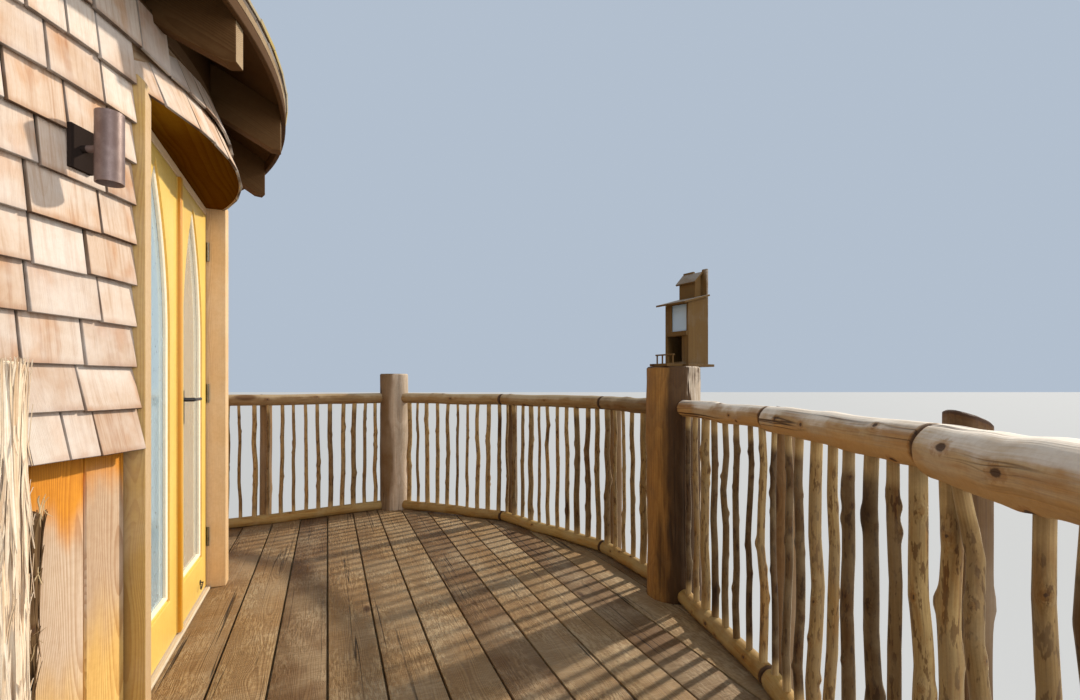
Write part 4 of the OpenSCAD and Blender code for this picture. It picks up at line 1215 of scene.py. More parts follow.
hood_lean = math.atan((bow_low - bow_top) / (wall_top - soffit_z))
wall_rows = []
for step in range(WALL_COURSES):
    z = flare_z - DROP_LINE + step * EXPOSURE
    face = wall_radius(z)
    lean = LEAN + math.atan((face - wall_radius(z + EXPOSURE)) / EXPOSURE)
    radius = face + PROUD - SHINGLE_BUTT
    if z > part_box("left_jamb")[1].z:
        wall_rows.append(course(radius, z, lean, FRONT - math.pi, 2 * math.pi, SHINGLE_W,
                                bow=bow_radius(z) + PROUD - SHINGLE_BUTT, bow_lean=hood_lean))
    else:
        wall_rows.append(course(radius, z, lean, WALL_START, WALL_SWEEP, SHINGLE_W, bow_lean=hood_lean))
shingle_long = EXPOSURE + SHINGLE_LAP
next_z = min(row["place"][2] for row in wall_rows if row["bow"] > 0)
wall_rows.append(course(cabin_r - SHINGLE_BUTT, soffit_z - DROP_LINE, LEAN, FRONT - left_turn + 0.002,
                        left_turn + right_turn - 0.004, SHINGLE_W, bow=bow_low - SHINGLE_BUTT,
                        long=(next_z - soffit_z + 0.03) / shingle_long, bow_lean=hood_lean))
lay("wall_shingles", wall_rows,
    blank("shingle_blank", SHINGLE_W, shingle_long, SHINGLE_BUTT, SHINGLE_TIP, SHINGLE_EDGE), SHINGLE_W,
    wall_cedar, joint=0.006, uneven=0.42, drop=0.003, wobble=0.008, bow_centre=bow_c, seed=5)

PLANK_W = 0.165
PLANK_T = 0.020
PLANK_EDGE = 0.004
LINING_W = 0.14
LINING_T = 0.012
LINING_EDGE = 0.003
LINING_OFF = 0.004
END_GAP = 0.004
BOARD_FOOT = deck_z + END_GAP / 2
SIDES = (WALL_START + END_GAP, WALL_SWEEP - 2 * END_GAP)
lay("skirt_planks", [course(skirt_r - PLANK_T, BOARD_FOOT, 0.0, *SIDES, PLANK_W)],
    blank("plank_blank", PLANK_W, flare_z - deck_z - END_GAP, PLANK_T, PLANK_T, PLANK_EDGE), PLANK_W,
    plank_wood, joint=0.0035, uneven=0.14, seed=9)
lining_blank = blank("lining_blank", LINING_W, wall_top - deck_z - END_GAP, LINING_T, LINING_T, LINING_EDGE,
                     inward=True)
lay("lining_boards", [course(inner_r + LINING_OFF, BOARD_FOOT, 0.0, *SIDES, LINING_W)], lining_blank,
    LINING_W, jamb_wood, joint=0.001, uneven=0.05, seed=12)

# %% [markdown]
# Behind the shingles stands the sheathing. It is a section turned about the middle of the cabin, a
# little slimmer than the solid wall, so that the shingles end where the solid ends. The same function
# turns the felt under the roof shingles, and the cap.

# %% Sheathing behind the shingles
def turned(profile, start, sweep, steps):
    """Corners and faces of a closed section turned about the middle of the cabin."""
    full = abs(sweep) > 2 * math.pi - 1e-6
    count = steps if full else steps + 1
    rows = []
    for k in range(count):
        angle = start + sweep * k / steps
        rows += [(r * math.cos(angle), r * math.sin(angle), z) for r, z in profile]
    size = len(profile)
    faces = []
    for k in range(steps):
        here = k * size
        there = (k + 1) % count * size
        for i in range(size):
            j = (i + 1) % size
            faces.append([here + i, there + i, there + j, here + j])
    if not full:
        faces.append(list(range(size))[::-1])
        faces.append([(count - 1) * size + i for i in range(size)])
    return np.array(rows), faces


def turned_piece(name, profile, material, start=0.0, sweep=2 * math.pi, steps=96, replaces=()):
    """A turned section as a piece, with poles closed and faces outward."""
    rows, faces = turned(profile, start, sweep, steps)
    bm = bmesh.new()
    verts = [bm.verts.new(row) for row in rows]
    for face in faces:
        bm.faces.new([verts[i] for i in face])
    bmesh.ops.remove_doubles(bm, verts=bm.verts[:], dist=1e-6)
    bmesh.ops.dissolve_degenerate(bm, dist=1e-7, edges=bm.edges[:])
    bmesh.ops.recalc_face_normals(bm, faces=bm.faces[:])
    grain = np.array([v.co for v in bm.verts])
    mesh = to_mesh(bm, name, grain, np.full(len(grain), 0.5))
    return add_piece(name, mesh, material, replaces=replaces)


# How far the sheathing stays behind the face of the solid wall
BACK = 0.019
LINED = inner_r + 0.006
PLANK_BACK = skirt_r - PLANK_T - MM
core = [(LINED, deck_z), (PLANK_BACK, deck_z), (PLANK_BACK, flare_z + 0.006),
        (flare_r - BACK, flare_z + 0.002), (cabin_r - BACK, flare_top), (cabin_r - BACK, wall_top),
        (LINED, wall_top)]
turned_piece("sheathing", core, felt, WALL_START + 0.002, WALL_SWEEP - 0.004, 160,
             replaces=tuple("wall_%d" % k for k in range(1, 9)))

# %% [markdown]
# The hood over the doors is a solid block of its own. Its front is drawn back, so that the shingles
# that follow the bow cover it, and only its golden underside shows.

# %% Underside of the hood
SOFFIT_INSET = 0.012
HOOD_INSET = 0.03


def hood_inset(bm):
    """Draws the front of the hood back behind the shingles."""
    for vert in bm.verts:
        outward = Vector((vert.co.x, vert.co.y + bow_c, 0))
        if math.hypot(vert.co.x, vert.co.y) > cabin_r - 0.02:
            vert.co -= outward.normalized() * (SOFFIT_INSET if vert.co.z < soffit_z + MM else HOOD_INSET)


timber("door_hood", "hood_soffit", soffit_wood, 0.001, 24, along=(1, 0, 0), change=hood_inset)

# %% [markdown]
# The roof is the same tree again. A row stands at its radius on the slope and leans in by the angle
# that the slope leaves to the upright, and three rows lie on each other at the eave, where the real
# roof shows a thick edge of pale butts. Each row starts at another angle, so that no joints line up.

# %% Shingles on the roof
ROOF_SHINGLE_W = 0.14
ROOF_EXPOSURE = 0.14
ROOF_BUTT = 0.012
ROOF_LAP = 0.05
EAVE_LAYERS = (2, 1)
LAYER_T = 0.0105
CAP_R = 0.17
ROOF_SUNK = ROOF_BUTT - 0.002
upright = math.pi / 2 - ROOF_PITCH
normal_r = math.sin(ROOF_PITCH)
normal_z = math.cos(ROOF_PITCH)
slope_length = (eave_r - CAP_R) / math.cos(ROOF_PITCH)
roof_rows = []
for layer in EAVE_LAYERS:
    under = 0.004 + ROOF_BUTT + layer * LAYER_T
    roof_rows.append(course(eave_r - under * normal_r - 0.003 * layer, eave_z - under * normal_z, upright,
                            0.3 * layer, 2 * math.pi, ROOF_SHINGLE_W, long=0.9))
for step in range(int(slope_length / ROOF_EXPOSURE) + 1):
    up_slope = step * ROOF_EXPOSURE
    radius = eave_r - up_slope * math.cos(ROOF_PITCH) - ROOF_SUNK * normal_r
    height = eave_z + up_slope * math.sin(ROOF_PITCH) - ROOF_SUNK * normal_z
    roof_rows.append(course(radius, height, upright + ROOF_BUTT / ROOF_EXPOSURE, 0.7 * step, 2 * math.pi,
                            ROOF_SHINGLE_W))
lay("roof_courses", roof_rows,
    blank("roof_blank", ROOF_SHINGLE_W, ROOF_EXPOSURE + ROOF_LAP, ROOF_BUTT, SHINGLE_TIP, SHINGLE_EDGE),
    ROOF_SHINGLE_W, roof_cedar, joint=0.004, uneven=0.35, drop=0.002, wobble=0.006, seed=21)

# %% [markdown]
# Under the shingles lies a felted cone, a little smaller than the roof, and a lead cap closes the top.
# Both are sections turned about the middle.

# %% Felt and cap of the roof
FELT_INSET = 0.03
FELT_SUNK = 0.016
PEAK_R = 0.02
under_z = roof[across(roof) > eave_r - MM][:, 2].min()
rise = (eave_r - PEAK_R) * roof_tan
step_in = FELT_INSET * roof_tan
felt_z = eave_z - FELT_SUNK
roof_core = [(PEAK_R, under_z + rise), (eave_r - FELT_INSET, under_z + step_in),
             (eave_r - FELT_INSET, felt_z + step_in), (PEAK_R, felt_z + rise)]
turned_piece("roof_underlay", roof_core, felt, replaces=("roof_shingles",))
cap_low = eave_z + (eave_r - CAP_R) * roof_tan
cap = [(0.0, cap_low - 0.05), (CAP_R + 0.01, cap_low - 0.03), (CAP_R + 0.012, cap_low + 0.004),
       (CAP_R - 0.02, cap_low + 0.018), (0.05, cap_z - 0.012), (0.035, cap_z - 0.002), (0.0, cap_z)]
turned_piece("roof_cap", cap, lead_metal, steps=48)

# %% [markdown]
# A peeled log is a tube whose radius wanders a little along and around it, with a few knots where branches
# grew, and a slight bend. Its ends may be cut square or along a given plane, as the rails are where two of
# them meet, and a cut end gets a dark band of painted shadow, as a joint would throw. The grain runs with
# the log, so its end shows rings.

# %% Logs
END_SHADE = 0.007
WAVES = 8
FLUTE_SETS = 4
KINKS = 5
ANY_PHASE = 6.3


def wavy_radius(radius, t, a, length, rough, flutes, rng):
    """The radius of a log with slow waves along and around it, and with flutes."""
    wave = np.zeros_like(t)
    for k in range(1, WAVES + 1):
        lobes = rng.integers(0, 4)
        pace = rng.uniform(0.4, 1.6) * k
        wave += np.sin(lobes * a + pace * t * length * 4 + rng.uniform(0, ANY_PHASE)) / k ** 0.8
    radius = radius * (1 + rough * wave * 0.7)
    for _ in range(FLUTE_SETS):
        lobes = rng.integers(5, 17)
        twist = rng.uniform(-1, 1) * t * length * 3
        radius += flutes * np.sin(lobes * a + twist + rng.uniform(0, ANY_PHASE)) * 0.6
    return radius


def with_knots(radius, t, a, length, r0, knots, knot_size, swell, rng):
    """The radius swollen where branches grew, with a dip in each knot, and how much of a knot shows."""
    mark = np.zeros_like(t)
    for _ in range(knots):
        kt, ka = rng.uniform(0.08, 0.92), rng.uniform(0, ANY_PHASE)
        size = rng.uniform(*knot_size) * r0
        turn = np.abs((a - ka + math.pi) % (2 * math.pi) - math.pi) * radius
        far = np.sqrt(turn ** 2 + ((t - kt) * length * 0.6) ** 2)
        radius += r0 * rng.uniform(*swell) * np.exp(-(far / size) ** 2)
        radius -= r0 * rng.uniform(0.03, 0.08) * np.exp(-(far / size * 3) ** 2)
        mark = np.maximum(mark, np.exp(-(far / size * 1.9) ** 2))
    return radius, mark


def strays(t, bend, crooked, rng):
    """How far a log strays from its line in two directions: slow bends, then kinks."""
    hump = np.sin(t * math.pi)
    ways = []
    for _ in range(2):
        slow = np.sin(t * math.pi * rng.uniform(1, 2.6) + rng.uniform(0, 6)) * hump
        quick = 0.4 * np.sin(t * math.pi * rng.uniform(4, 7) + rng.uniform(0, 6)) * hump
        ways.append(bend * (slow + quick))
    stops = np.linspace(0, 1, KINKS + 2)
    return [way + crooked * np.interp(t, stops, [0, *rng.uniform(-1, 1, KINKS), 0]) for way in ways]


def tube_faces(count, sides):
    """The faces of a tube of rings, closed at both ends."""
    faces = []
    for i in range(count - 1):
        for j in range(sides):
            k = (j + 1) % sides
            faces.append([i * sides + j, i * sides + k, (i + 1) * sides + k, (i + 1) * sides + j])
    faces.append(list(range(sides))[::-1])
    faces.append([(count - 1) * sides + j for j in range(sides)])
    return faces


def log_part(start, end, r0, r1, rng, sides=32, rings=50, bend=0.004, rough=0.02, knots=2, flutes=0.0,
             cuts=(None, None), tone=None, eased=0.005, swell=(0.08, 0.16), knot_size=(0.35, 0.7),
             crooked=0.0):
    """Corners, faces, grain, tone and knots of a log between two points."""
    start = np.array(start, float)
    end = np.array(end, float)
    length = np.linalg.norm(end - start)
    along = (end - start) / length
    side = np.cross(along, [0, 0, 1.0] if abs(along[2]) < 0.9 else [0, 1.0, 0])
    side /= np.linalg.norm(side)
    other = np.cross(along, side)
    share = np.linspace(0, 1, rings)
    inner = share[np.abs(share - 0.5) < 0.5 - 1.4 * eased / length]
    share = np.concatenate([[0, eased / length], inner, [1 - eased / length, 1]])
    around = np.linspace(0, 2 * math.pi, sides, endpoint=False)
    t, a = np.meshgrid(share, around, indexing="ij")
    radius = wavy_radius(r0 + (r1 - r0) * t, t, a, length, rough, flutes, rng)
    radius, mark = with_knots(radius, t, a, length, r0, knots, knot_size, swell, rng)
    # Painted shadow: a band at each cut end is marked dark in the knot numbers
    for end_share, cut in ((t, cuts[0]), (1 - t, cuts[1])):
        if cut is not None:
            mark = np.maximum(mark, np.clip(2 - end_share * length / END_SHADE, 0, 1))
    edge = np.minimum(t, 1 - t) * length < eased * 0.5
    radius = np.where(edge, radius - eased, radius)
    lean = strays(t, bend, crooked, rng)
    cu = radius * np.cos(a)
    cv = radius * np.sin(a)
    flat = start + (cu + lean[0])[..., None] * side + (cv + lean[1])[..., None] * other
    first = np.zeros_like(t)
    last = np.full_like(t, length)
    for bound, cut in zip((first, last), cuts):
        if cut is not None:
            point, normal = np.array(cut[0], float), np.array(cut[1], float)
            bound[:] = ((point - flat) @ normal) / (along @ normal)
    rows = flat + (first + (last - first) * t)[..., None] * along
    grain = np.stack([cu, cv, t * length + rng.uniform(0, 40)], -1)
    tone = rng.random() if tone is None else tone
    return rows.reshape(-1, 3), tube_faces(len(share), sides), grain.reshape(-1, 3), tone, mark.ravel()


# %% [markdown]
# Logs that stand are found from their solids: the lowest and the highest ring of corners give the
# middle and the radius of each end. The stilts under the cabin and the thin posts outside the rails
# come first. The tops of the thin posts are cut on a slant.

# %% Logs that stand
RING_DEPTH = 0.03
RIGHTWARD = np.array([HEADING.y, -HEADING.x])


def add_logs(name, parts, material, replaces=(), extra=None, sharp=50):
    """Several logs as one piece."""
    rows, faces, grain, tone, knot = joined(parts)
    mesh = raw_mesh(name, rows, faces, grain, tone)
    # The knot attribute also carries the painted shadow at the cut ends
    write_attribute(mesh, "knot", knot)
    if extra is not None:
        write_attribute(mesh, "bared", extra)
    return add_piece(name, mesh, material, "root", replaces, sharp)


def ends_of(rows):
    """The middles and radii of the two ends of an upright round solid."""
    found = []
    for value in (rows[:, 2].min(), rows[:, 2].max()):
        ring = rows[abs(rows[:, 2] - value) < RING_DEPTH]
        middle = (ring.min(0) + ring.max(0)) / 2
        middle[2] = value
        found.append((middle, (ring[:, 0].max() - ring[:, 0].min()) / 2))
    return found


def standing_logs(node, name, material, seed, slant=0.0, **shape):
    """Upright logs in the place of the solids of a node, with tops cut level or on a slant."""
    rng = np.random.default_rng(seed)
    parts = []
    for rows in solids_of(node):
        (low, r0), (high, r1) = ends_of(rows)
        cuts = (None, None)
        if slant:
            cuts = (None, (high - np.array([0, 0, r0 * slant]), (*(slant * RIGHTWARD), 1.0)))
        parts.append(log_part(low, high, r0, r1, rng, cuts=cuts, **shape))
    return add_logs(name, parts, material, (node,))


standing_logs("cabin_stilts", "stilt_logs", far_log, 41, sides=40, rings=60, flutes=0.001, knots=4)
standing_logs("outer_posts", "outer_logs", far_log, 42, slant=0.42, sides=28, rings=50, bend=0.002,
              flutes=0.0006)

# %% [markdown]
# Each bay has two rails with sticks between them. Four angles about the cabin are those at which two
# rails meet. An end of a rail that lies at one of them is cut on that plane through the middle of the
# cabin, a few millimetres short of its neighbour, so that the joint draws a dark line; any other end
# runs into a post.

# %% Ends of the rails
BAYS = tuple("balustrade_%d" % k for k in range(1, 8))
# The first of the bays that stand close to the camera
NEAR_BAY = 5
MIDWAY = deck_z + 0.5
# The angles about the cabin, in degrees, at which two rails meet, and how near to one counts as there
JOINTS = np.array([-70.5, -85.5, -107.5, -118.9])
AT_JOINT = 0.03
RAIL_GAP = 0.008
RAIL_TIP = 0.075


def rail_ends(rows):
    """The middle, radius and cutting plane of both ends of a rail."""
    centre = rows[:, :2].mean(0)
    spread = rows[:, :2] - centre
    way = np.linalg.eigh(spread.T @ spread)[1][:, 1]
    aside = np.array([-way[1], way[0]])
    reach = spread @ way
    found = []
    for sign in (-1, 1):
        tip = (sign * reach).max()
        ring = rows[sign * reach > tip - RAIL_TIP]
        azimuth = np.degrees(np.arctan2(ring[:, 1], ring[:, 0]))
        off = np.abs(azimuth[:, None] - JOINTS).min(0)
        middle = (ring.min(0) + ring.max(0)) / 2
        radius = (ring[:, 2].max() - ring[:, 2].min()) / 2
        turn = math.radians(JOINTS[off.argmin()])
        across_joint = np.array([-math.sin(turn), math.cos(turn), 0])
        inward = np.sign((centre - middle[:2]) @ across_joint[:2])
        plane = (across_joint * inward * RAIL_GAP / 2, across_joint) if off.min() < AT_JOINT else None
        sideways = ring[:, :2] @ aside
        inside = (sideways.min() + sideways.max()) / 2
        middle[:2] = inside * aside + (centre @ way + sign * tip) * way
        found.append((middle, radius, plane))
    return found


# %% [markdown]
# The solids hold straight and even sticks. The real ones are crooked, with stubs of twigs, and are
# whittled down to pale wood where they enter the rails. So each stick is a thin log with large knots
# and small kinks, and a number on its corners says where the wood is bared. In the bay that stands
# closest to the camera they are stouter, and one of them leans.

# %% Sticks
# How much stouter than its solid each stick of a bay is, then the bay and place of the one that leans,
# and how far its top and foot swing about the cabin, in degrees
STOUT_STICKS = {7: (1.4, 1.05, 1.45, 1.3)}
LEANING_STICK = (7, 1)
LEANING_TOP = 1.25
LEANING_FOOT = -0.5
SUNK_FOOT = 0.02
SUNK_HEAD = 0.01
WHITTLED = 0.05
FOOT_FADE = 0.035
HEAD_FADE = 0.03


def azimuth_of(rows):
    """The angle of a solid about the cabin, in degrees."""
    middle = rows.mean(0)
    return math.degrees(math.atan2(middle[1], middle[0]))


def swung(place, degrees):
    """A place turned about the cabin."""
    turn = math.radians(degrees)
    x, y, z = place
    return np.array([x * math.cos(turn) - y * math.sin(turn), x * math.sin(turn) + y * math.cos(turn), z])


def stick_parts(bay, solids, rng):
    """The sticks of a bay and how far each corner is bared at its whittled ends."""
    near = bay >= NEAR_BAY
    parts, bared = [], []
    for place, rows in enumerate(sorted(solids, key=azimuth_of)[::-1]):
        (foot, r0), (head, r1) = ends_of(rows)
        foot[2] -= SUNK_FOOT
        head[2] += SUNK_HEAD
        stout = STOUT_STICKS[bay][place] if bay in STOUT_STICKS else 1.0
        leaning = (bay, place) == LEANING_STICK
        if leaning:
            foot, head = swung(foot, LEANING_FOOT), swung(head, LEANING_TOP)
        # Sticks of the far bays get only the paler tones, as painted sunlight on their sides that face the
        # camera
        tone = rng.random() if near else rng.uniform(0.45, 1.0)
        part = log_part(foot, head, r0 * 0.97 * stout, r1 * 0.92 * stout, rng, tone=tone,
                        sides=18 if near else 12, rings=100 if near else 44, bend=0.002, rough=0.03,
                        knots=7, eased=0.002, swell=(0.15, 0.5), knot_size=(0.45, 0.8),
                        crooked=0.016 if leaning else 0.006)
        heights = part[0][:, 2]
        parts.append(part)
        bared.append(np.clip(1 - (heights - foot[2] - WHITTLED) / FOOT_FADE, 0, 1)
                     + np.clip(1 - (head[2] - heights - WHITTLED) / HEAD_FADE, 0, 1))
    return parts, bared


# %% [markdown]
# The upper rails are thick and smooth, with most detail where the camera stands close to them. The
# lower ones are thinner and lie on the deck. A strip let into the deck under each of these closes the
# ends of the joints between the boards.

# %% Rails and the strip under them
LOW_RAIL_R = 0.038
PACKING_W = 0.03
PACKING_SUNK = 0.004


def rail_part(bay, rows, rng):
    """One rail of a bay, cut where it meets the next."""
    near = bay >= NEAR_BAY
    (start, r0, cut0), (end, r1, cut1) = rail_ends(rows)
    if rows[:, 2].max() > MIDWAY:
        return log_part(start, end, r0, r1, rng, sides=96 if near else 48, rings=200 if near else 90,
                        bend=0.003, rough=0.012, knots=8, flutes=0.0005, cuts=(cut0, cut1),
                        eased=0.009 if near else 0.005, swell=(0.03, 0.12), knot_size=(0.35, 0.62))
    start[2] = end[2] = deck_z + LOW_RAIL_R
    return log_part(start, end, LOW_RAIL_R, LOW_RAIL_R, rng, sides=40, rings=80, bend=0.004, rough=0.03,
                    knots=6, flutes=0.0005, cuts=(cut0, cut1))


def packing(start, end):
    """A strip let into the deck under a low rail."""
    way = end - start
    side = np.cross(way / np.linalg.norm(way), [0, 0, 1.0]) * PACKING_W / 2
    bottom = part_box("deck_floor")[0].z + REBATE
    rows = np.array([(*(place + sign * side)[:2], z) for place in (start, end)
                     for sign in (-1, 1) for z in (bottom, deck_z - PACKING_SUNK)])
    faces = [[2, 3, 1, 0], [5, 7, 6, 4], [1, 5, 4, 0], [6, 7, 3, 2], [4, 6, 2, 0], [3, 7, 5, 1]]
    return rows, faces, rows - start, 0.1, np.zeros(len(rows))


# %% [markdown]
# Now the bays are gone through one by one. The shape of a solid says what it is: a tall one is a stick,
# and of the two that lie, the higher is the top rail. All logs of one kind become one piece, and the
# rails of the near bays are their own piece, because they are paler and finer.

# %% Balustrade
far_rails, near_rails, low_rails, packings, sticks, bared = [], [], [], [], [], []
for bay, node in enumerate(BAYS, 1):
    rng = np.random.default_rng(100 + bay)
    upright_solids = []
    for rows in solids_of(node):
        if np.ptp(rows[:, 2]) > 0.5:
            upright_solids.append(rows)
        elif rows[:, 2].max() > MIDWAY:
            (near_rails if bay >= NEAR_BAY else far_rails).append(rail_part(bay, rows, rng))
        else:
            low_rails.append(rail_part(bay, rows, rng))
            packings.append(packing(*(end[0] for end in rail_ends(rows))))
    made, ends = stick_parts(bay, upright_solids, rng)
    sticks += made
    bared += ends
add_logs("near_rails", near_rails, rail_wood, BAYS[NEAR_BAY - 1:])
add_logs("far_rails", far_rails, far_rail, BAYS[:NEAR_BAY - 1])
add_logs("low_rails", low_rails, low_wood, BAYS)
rows, faces, grain, tone, _ = joined(packings)
add_piece("deck_packing", raw_mesh("deck_packing", rows, faces, grain, tone), deck_wood)
add_logs("rail_sticks", sticks, stick_wood, BAYS, np.concatenate(bared), sharp=80)
print("rails", len(near_rails) + len(far_rails) + len(low_rails), "sticks", len(sticks))

# %% [markdown]
# The large posts go from the ground to above the rail in one length. They get deeper flutes and drying
# cracks than the rails. The newel beside the wall still wears its fibrous inner bark, whose strips
# cling to it or curl away, and the stub next to it ends in a tuft of them.

# %% Posts
standing_logs("main_post", "main_log", post_wood, 51, sides=128, rings=260, bend=0.006, rough=0.016, knots=6,
              flutes=0.0012, eased=0.008, tone=0.8)
standing_logs("corner_posts", "corner_logs", corner_log, 52, sides=96, rings=220, bend=0.005, rough=0.018,
              knots=6, flutes=0.0012, eased=0.008)


STRIP_STEPS = 12


def bark_strips(rows, rng, count, lengths, widths, lift, over, tones):
    """Thin strips of inner bark that cling to an upright log and curl away at one end."""
    (low, r0), (high, r1) = ends_of(rows)
    height = high[2] - low[2]
    s = np.linspace(0, 1, STRIP_STEPS)
    parts = []
    for _ in range(count):
        length = rng.uniform(*lengths)
        upward = rng.random() < 0.6
        first = rng.uniform(0, max(height + over - length, 0.01))
        if rng.random() < 0.35:
            first = height + over * rng.uniform(0.2, 1.0) - length
        z = first + length * s
        share = np.clip(z / height, 0, 1)
        a = rng.uniform(0, 2 * math.pi) + 0.10 * np.sin(s * rng.uniform(2, 6) + rng.uniform(0, 6))
        free = np.clip((s if upward else 1 - s) * 2.2 - 1.2, 0, 1)
        out = r0 + (r1 - r0) * share + 0.0012 + lift * rng.uniform(0.2, 1.0) * free ** 2
        wide = rng.uniform(*widths) * np.clip(np.sin(s * math.pi) * 2.2 + 0.12, 0, 1) / 2
        thick = rng.uniform(0.0008, 0.0018)
        middle = low[None, :] + (high - low)[None, :] * (z / height)[:, None]
        outward = np.stack([np.cos(a), np.sin(a), np.zeros_like(a)], 1)
        sideways = np.stack([-np.sin(a), np.cos(a), np.zeros_like(a)], 1)
        ring = [(-1, 0), (1, 0), (1, 1), (-1, 1)]
        corner = [middle + outward * (out + thick * v)[:, None] + sideways * (wide * u)[:, None]
                  for u, v in ring]
        strip = np.stack(corner, 1).reshape(-1, 3)
        grain = np.stack([np.tile([-wide[5], wide[5], wide[5], -wide[5]], len(s)) + rng.uniform(0, 1),
                          np.zeros(4 * len(s)), np.repeat(z, 4)], 1)
        parts.append((strip, tube_faces(len(s), 4), grain, rng.uniform(*tones), np.zeros(len(strip))))
    return parts


newel_rng = np.random.default_rng(53)
newel_solid, stub_solid = sorted(solids_of("wall_newel"), key=lambda rows: -rows[:, 2].max())
(low, r0), (high, r1) = ends_of(newel_solid)
newel_parts = [log_part(low, high, r0 * 0.93, r1 * 0.9, newel_rng, sides=96, rings=160, bend=0.003,
                        rough=0.03, knots=4, flutes=0.003, eased=0.006)]
newel_parts += bark_strips(newel_solid, newel_rng, count=260, lengths=(0.12, 0.6), widths=(0.003, 0.011),
                           lift=0.014, over=0.012, tones=(0.3, 1.0))
add_logs("newel_log", newel_parts, newel_wood, ("wall_newel",), sharp=40)
(low, r0), (high, r1) = ends_of(stub_solid)
stub_parts = [log_part(low, high, r0, r1, newel_rng, sides=64, rings=90, bend=0.003, rough=0.03, knots=3,
                       flutes=0.002, eased=0.012, tone=0.2)]
stub_parts += bark_strips(stub_solid, newel_rng, count=60, lengths=(0.1, 0.4), widths=(0.003, 0.009),
                          lift=0.012, over=0.0, tones=(0.0, 0.4))
stub_parts += bark_strips(stub_solid, newel_rng, count=46, lengths=(0.03, 0.09), widths=(0.0015, 0.004),
                          lift=0.02, over=0.045, tones=(0.85, 1.0))
add_logs("stub_log", stub_parts, stub_wood, ("wall_newel",), sharp=40)

# %% [markdown]
# The doors are joinery with eased edges and satin paint. The glass is the solid pane. The metal parts
# keep their shape and only lose their sharp edges.

# %% Doors and fittings
timber("left_door", "left_leaf_wood", yellow_paint, 0.003, 61, along=(0, 0, 1),
       body="left_leaf", segments=2)
timber("right_door", "right_leaf_wood", yellow_paint, 0.003, 62, along=(0, 0, 1),
       body="right_leaf", segments=2)
timber("left_glass", "left_pane", cold_glass, 0.0, 63, body="left_leaf")
timber("right_glass", "right_pane", warm_glass, 0.0, 64, body="right_leaf")
timber("door_handle", "lever_handle", dark_metal, 0.0015, 65, body="right_leaf")
timber("door_hinges", "hinge_fixed", zinc_metal, 0.0004, 66)
timber("left_hinge_leaves", "hinge_left", zinc_metal, 0.0004, 67, body="left_leaf")
timber("right_hinge_leaves", "hinge_right", zinc_metal, 0.0004, 68, body="right_leaf")
timber("wall_lamp", "lamp_body", bronze_metal, 0.0006, 69)
timber("bird_house", "bird_boards", bird_wood, 0.0015, 70, along=(0, 0, 1))

# %% [markdown]
# A glazing bead holds each pane. It follows the pointed opening, so its outline is worked out from the
# pane: two upright sides, and two arcs of one radius that meet at the tip. Moving that outline inwards
# only shortens the radius, which gives the quarter-round section one loop for each of its points.

# %% Glazing beads
# The section of a bead: how far in from the edge of the pane, and how far out from its face
BEAD = [(0.0004, 0.0005), (0.0004, 0.0150), (0.0040, 0.0140), (0.0085, 0.0095), (0.0105, 0.0005)]
ARC_STEPS = 14


def pane_sizes(node):
    """Middle, half width, sill, springing and tip of a pane, and its faces."""
    rows = corners(node)
    low, high = rows.min(0), rows.max(0)
    middle = (low[0] + high[0]) / 2
    half = (high[0] - low[0]) / 2
    spring = rows[abs(abs(rows[:, 0] - middle) - half) < MM / 2][:, 2].max()
    return middle, half, low[2], spring, high[2], low[1], high[1]


def lancet(half, sill, spring, tip, inset):
    """The outline of a pointed opening, moved inwards."""
    rise = tip - spring
    radius = (half * half + rise * rise) / (2 * half)
    centre = radius - half
    arc = radius - inset
    last = math.acos(centre / arc)
    sweep = [last * k / ARC_STEPS for k in range(ARC_STEPS + 1)]
    right = [(arc * math.cos(a) - centre, spring + arc * math.sin(a)) for a in sweep]
    left = [(-x, z) for x, z in right[::-1]][1:]
    return [(inset - half, sill + inset), (half - inset, sill + inset)] + right + left


def beads(node, name, body):
    """Beads in front of a pane and behind it."""
    middle, half, sill, spring, tip, front, back = pane_sizes(node)
    bm = bmesh.new()
    for face_y, way in ((front, -1), (back, 1)):
        loops = []
        for inset, depth in BEAD:
            loops.append([bm.verts.new((middle + x, face_y + way * depth, z))
                          for x, z in lancet(half, sill, spring, tip, inset)])
        count = len(loops[0])
        for i, loop in enumerate(loops):
            after = loops[(i + 1) % len(loops)]
            for j in range(count):
                k = (j + 1) % count
                bm.faces.new([loop[j], loop[k], after[k], after[j]])
    bmesh.ops.recalc_face_normals(bm, faces=bm.faces[:])
    grain, tone = grain_of(bm, np.random.default_rng(71), along=(0, 0, 1))
    return add_piece(name, to_mesh(bm, name, grain, tone), bead_paint, body, sharp=30)


beads("left_glass", "left_beads", "left_leaf")
beads("right_glass", "right_beads", "right_leaf")

# %% [markdown]
# A small cabin hook hangs on the bottom rail of the right leaf. It is bent from one rod, so it is a tube
# along a few points, and its plate and eye are short tubes as well.

# %% Cabin hook
def rod(bm, points, radius, sides=10):
    """A round rod through points, closed at both ends."""
    points = [Vector(p) for p in points]
    loops = []
    for i, point in enumerate(points):
        way = (points[min(i + 1, len(points) - 1)] - points[max(i - 1, 0)]).normalized()
        side = way.cross(Vector((0.1, 1.0, 0.2))).normalized()
        other = way.cross(side)
        loops.append([bm.verts.new(point + radius * (math.cos(a) * side + math.sin(a) * other))
                      for a in [2 * math.pi * k / sides for k in range(sides)]])
    for here, there in zip(loops, loops[1:]):
        for j in range(sides):
            k = (j + 1) % sides
            bm.faces.new([here[j], here[k], there[k], there[j]])
    bm.faces.new(loops[0][::-1])
    bm.faces.new(loops[-1])


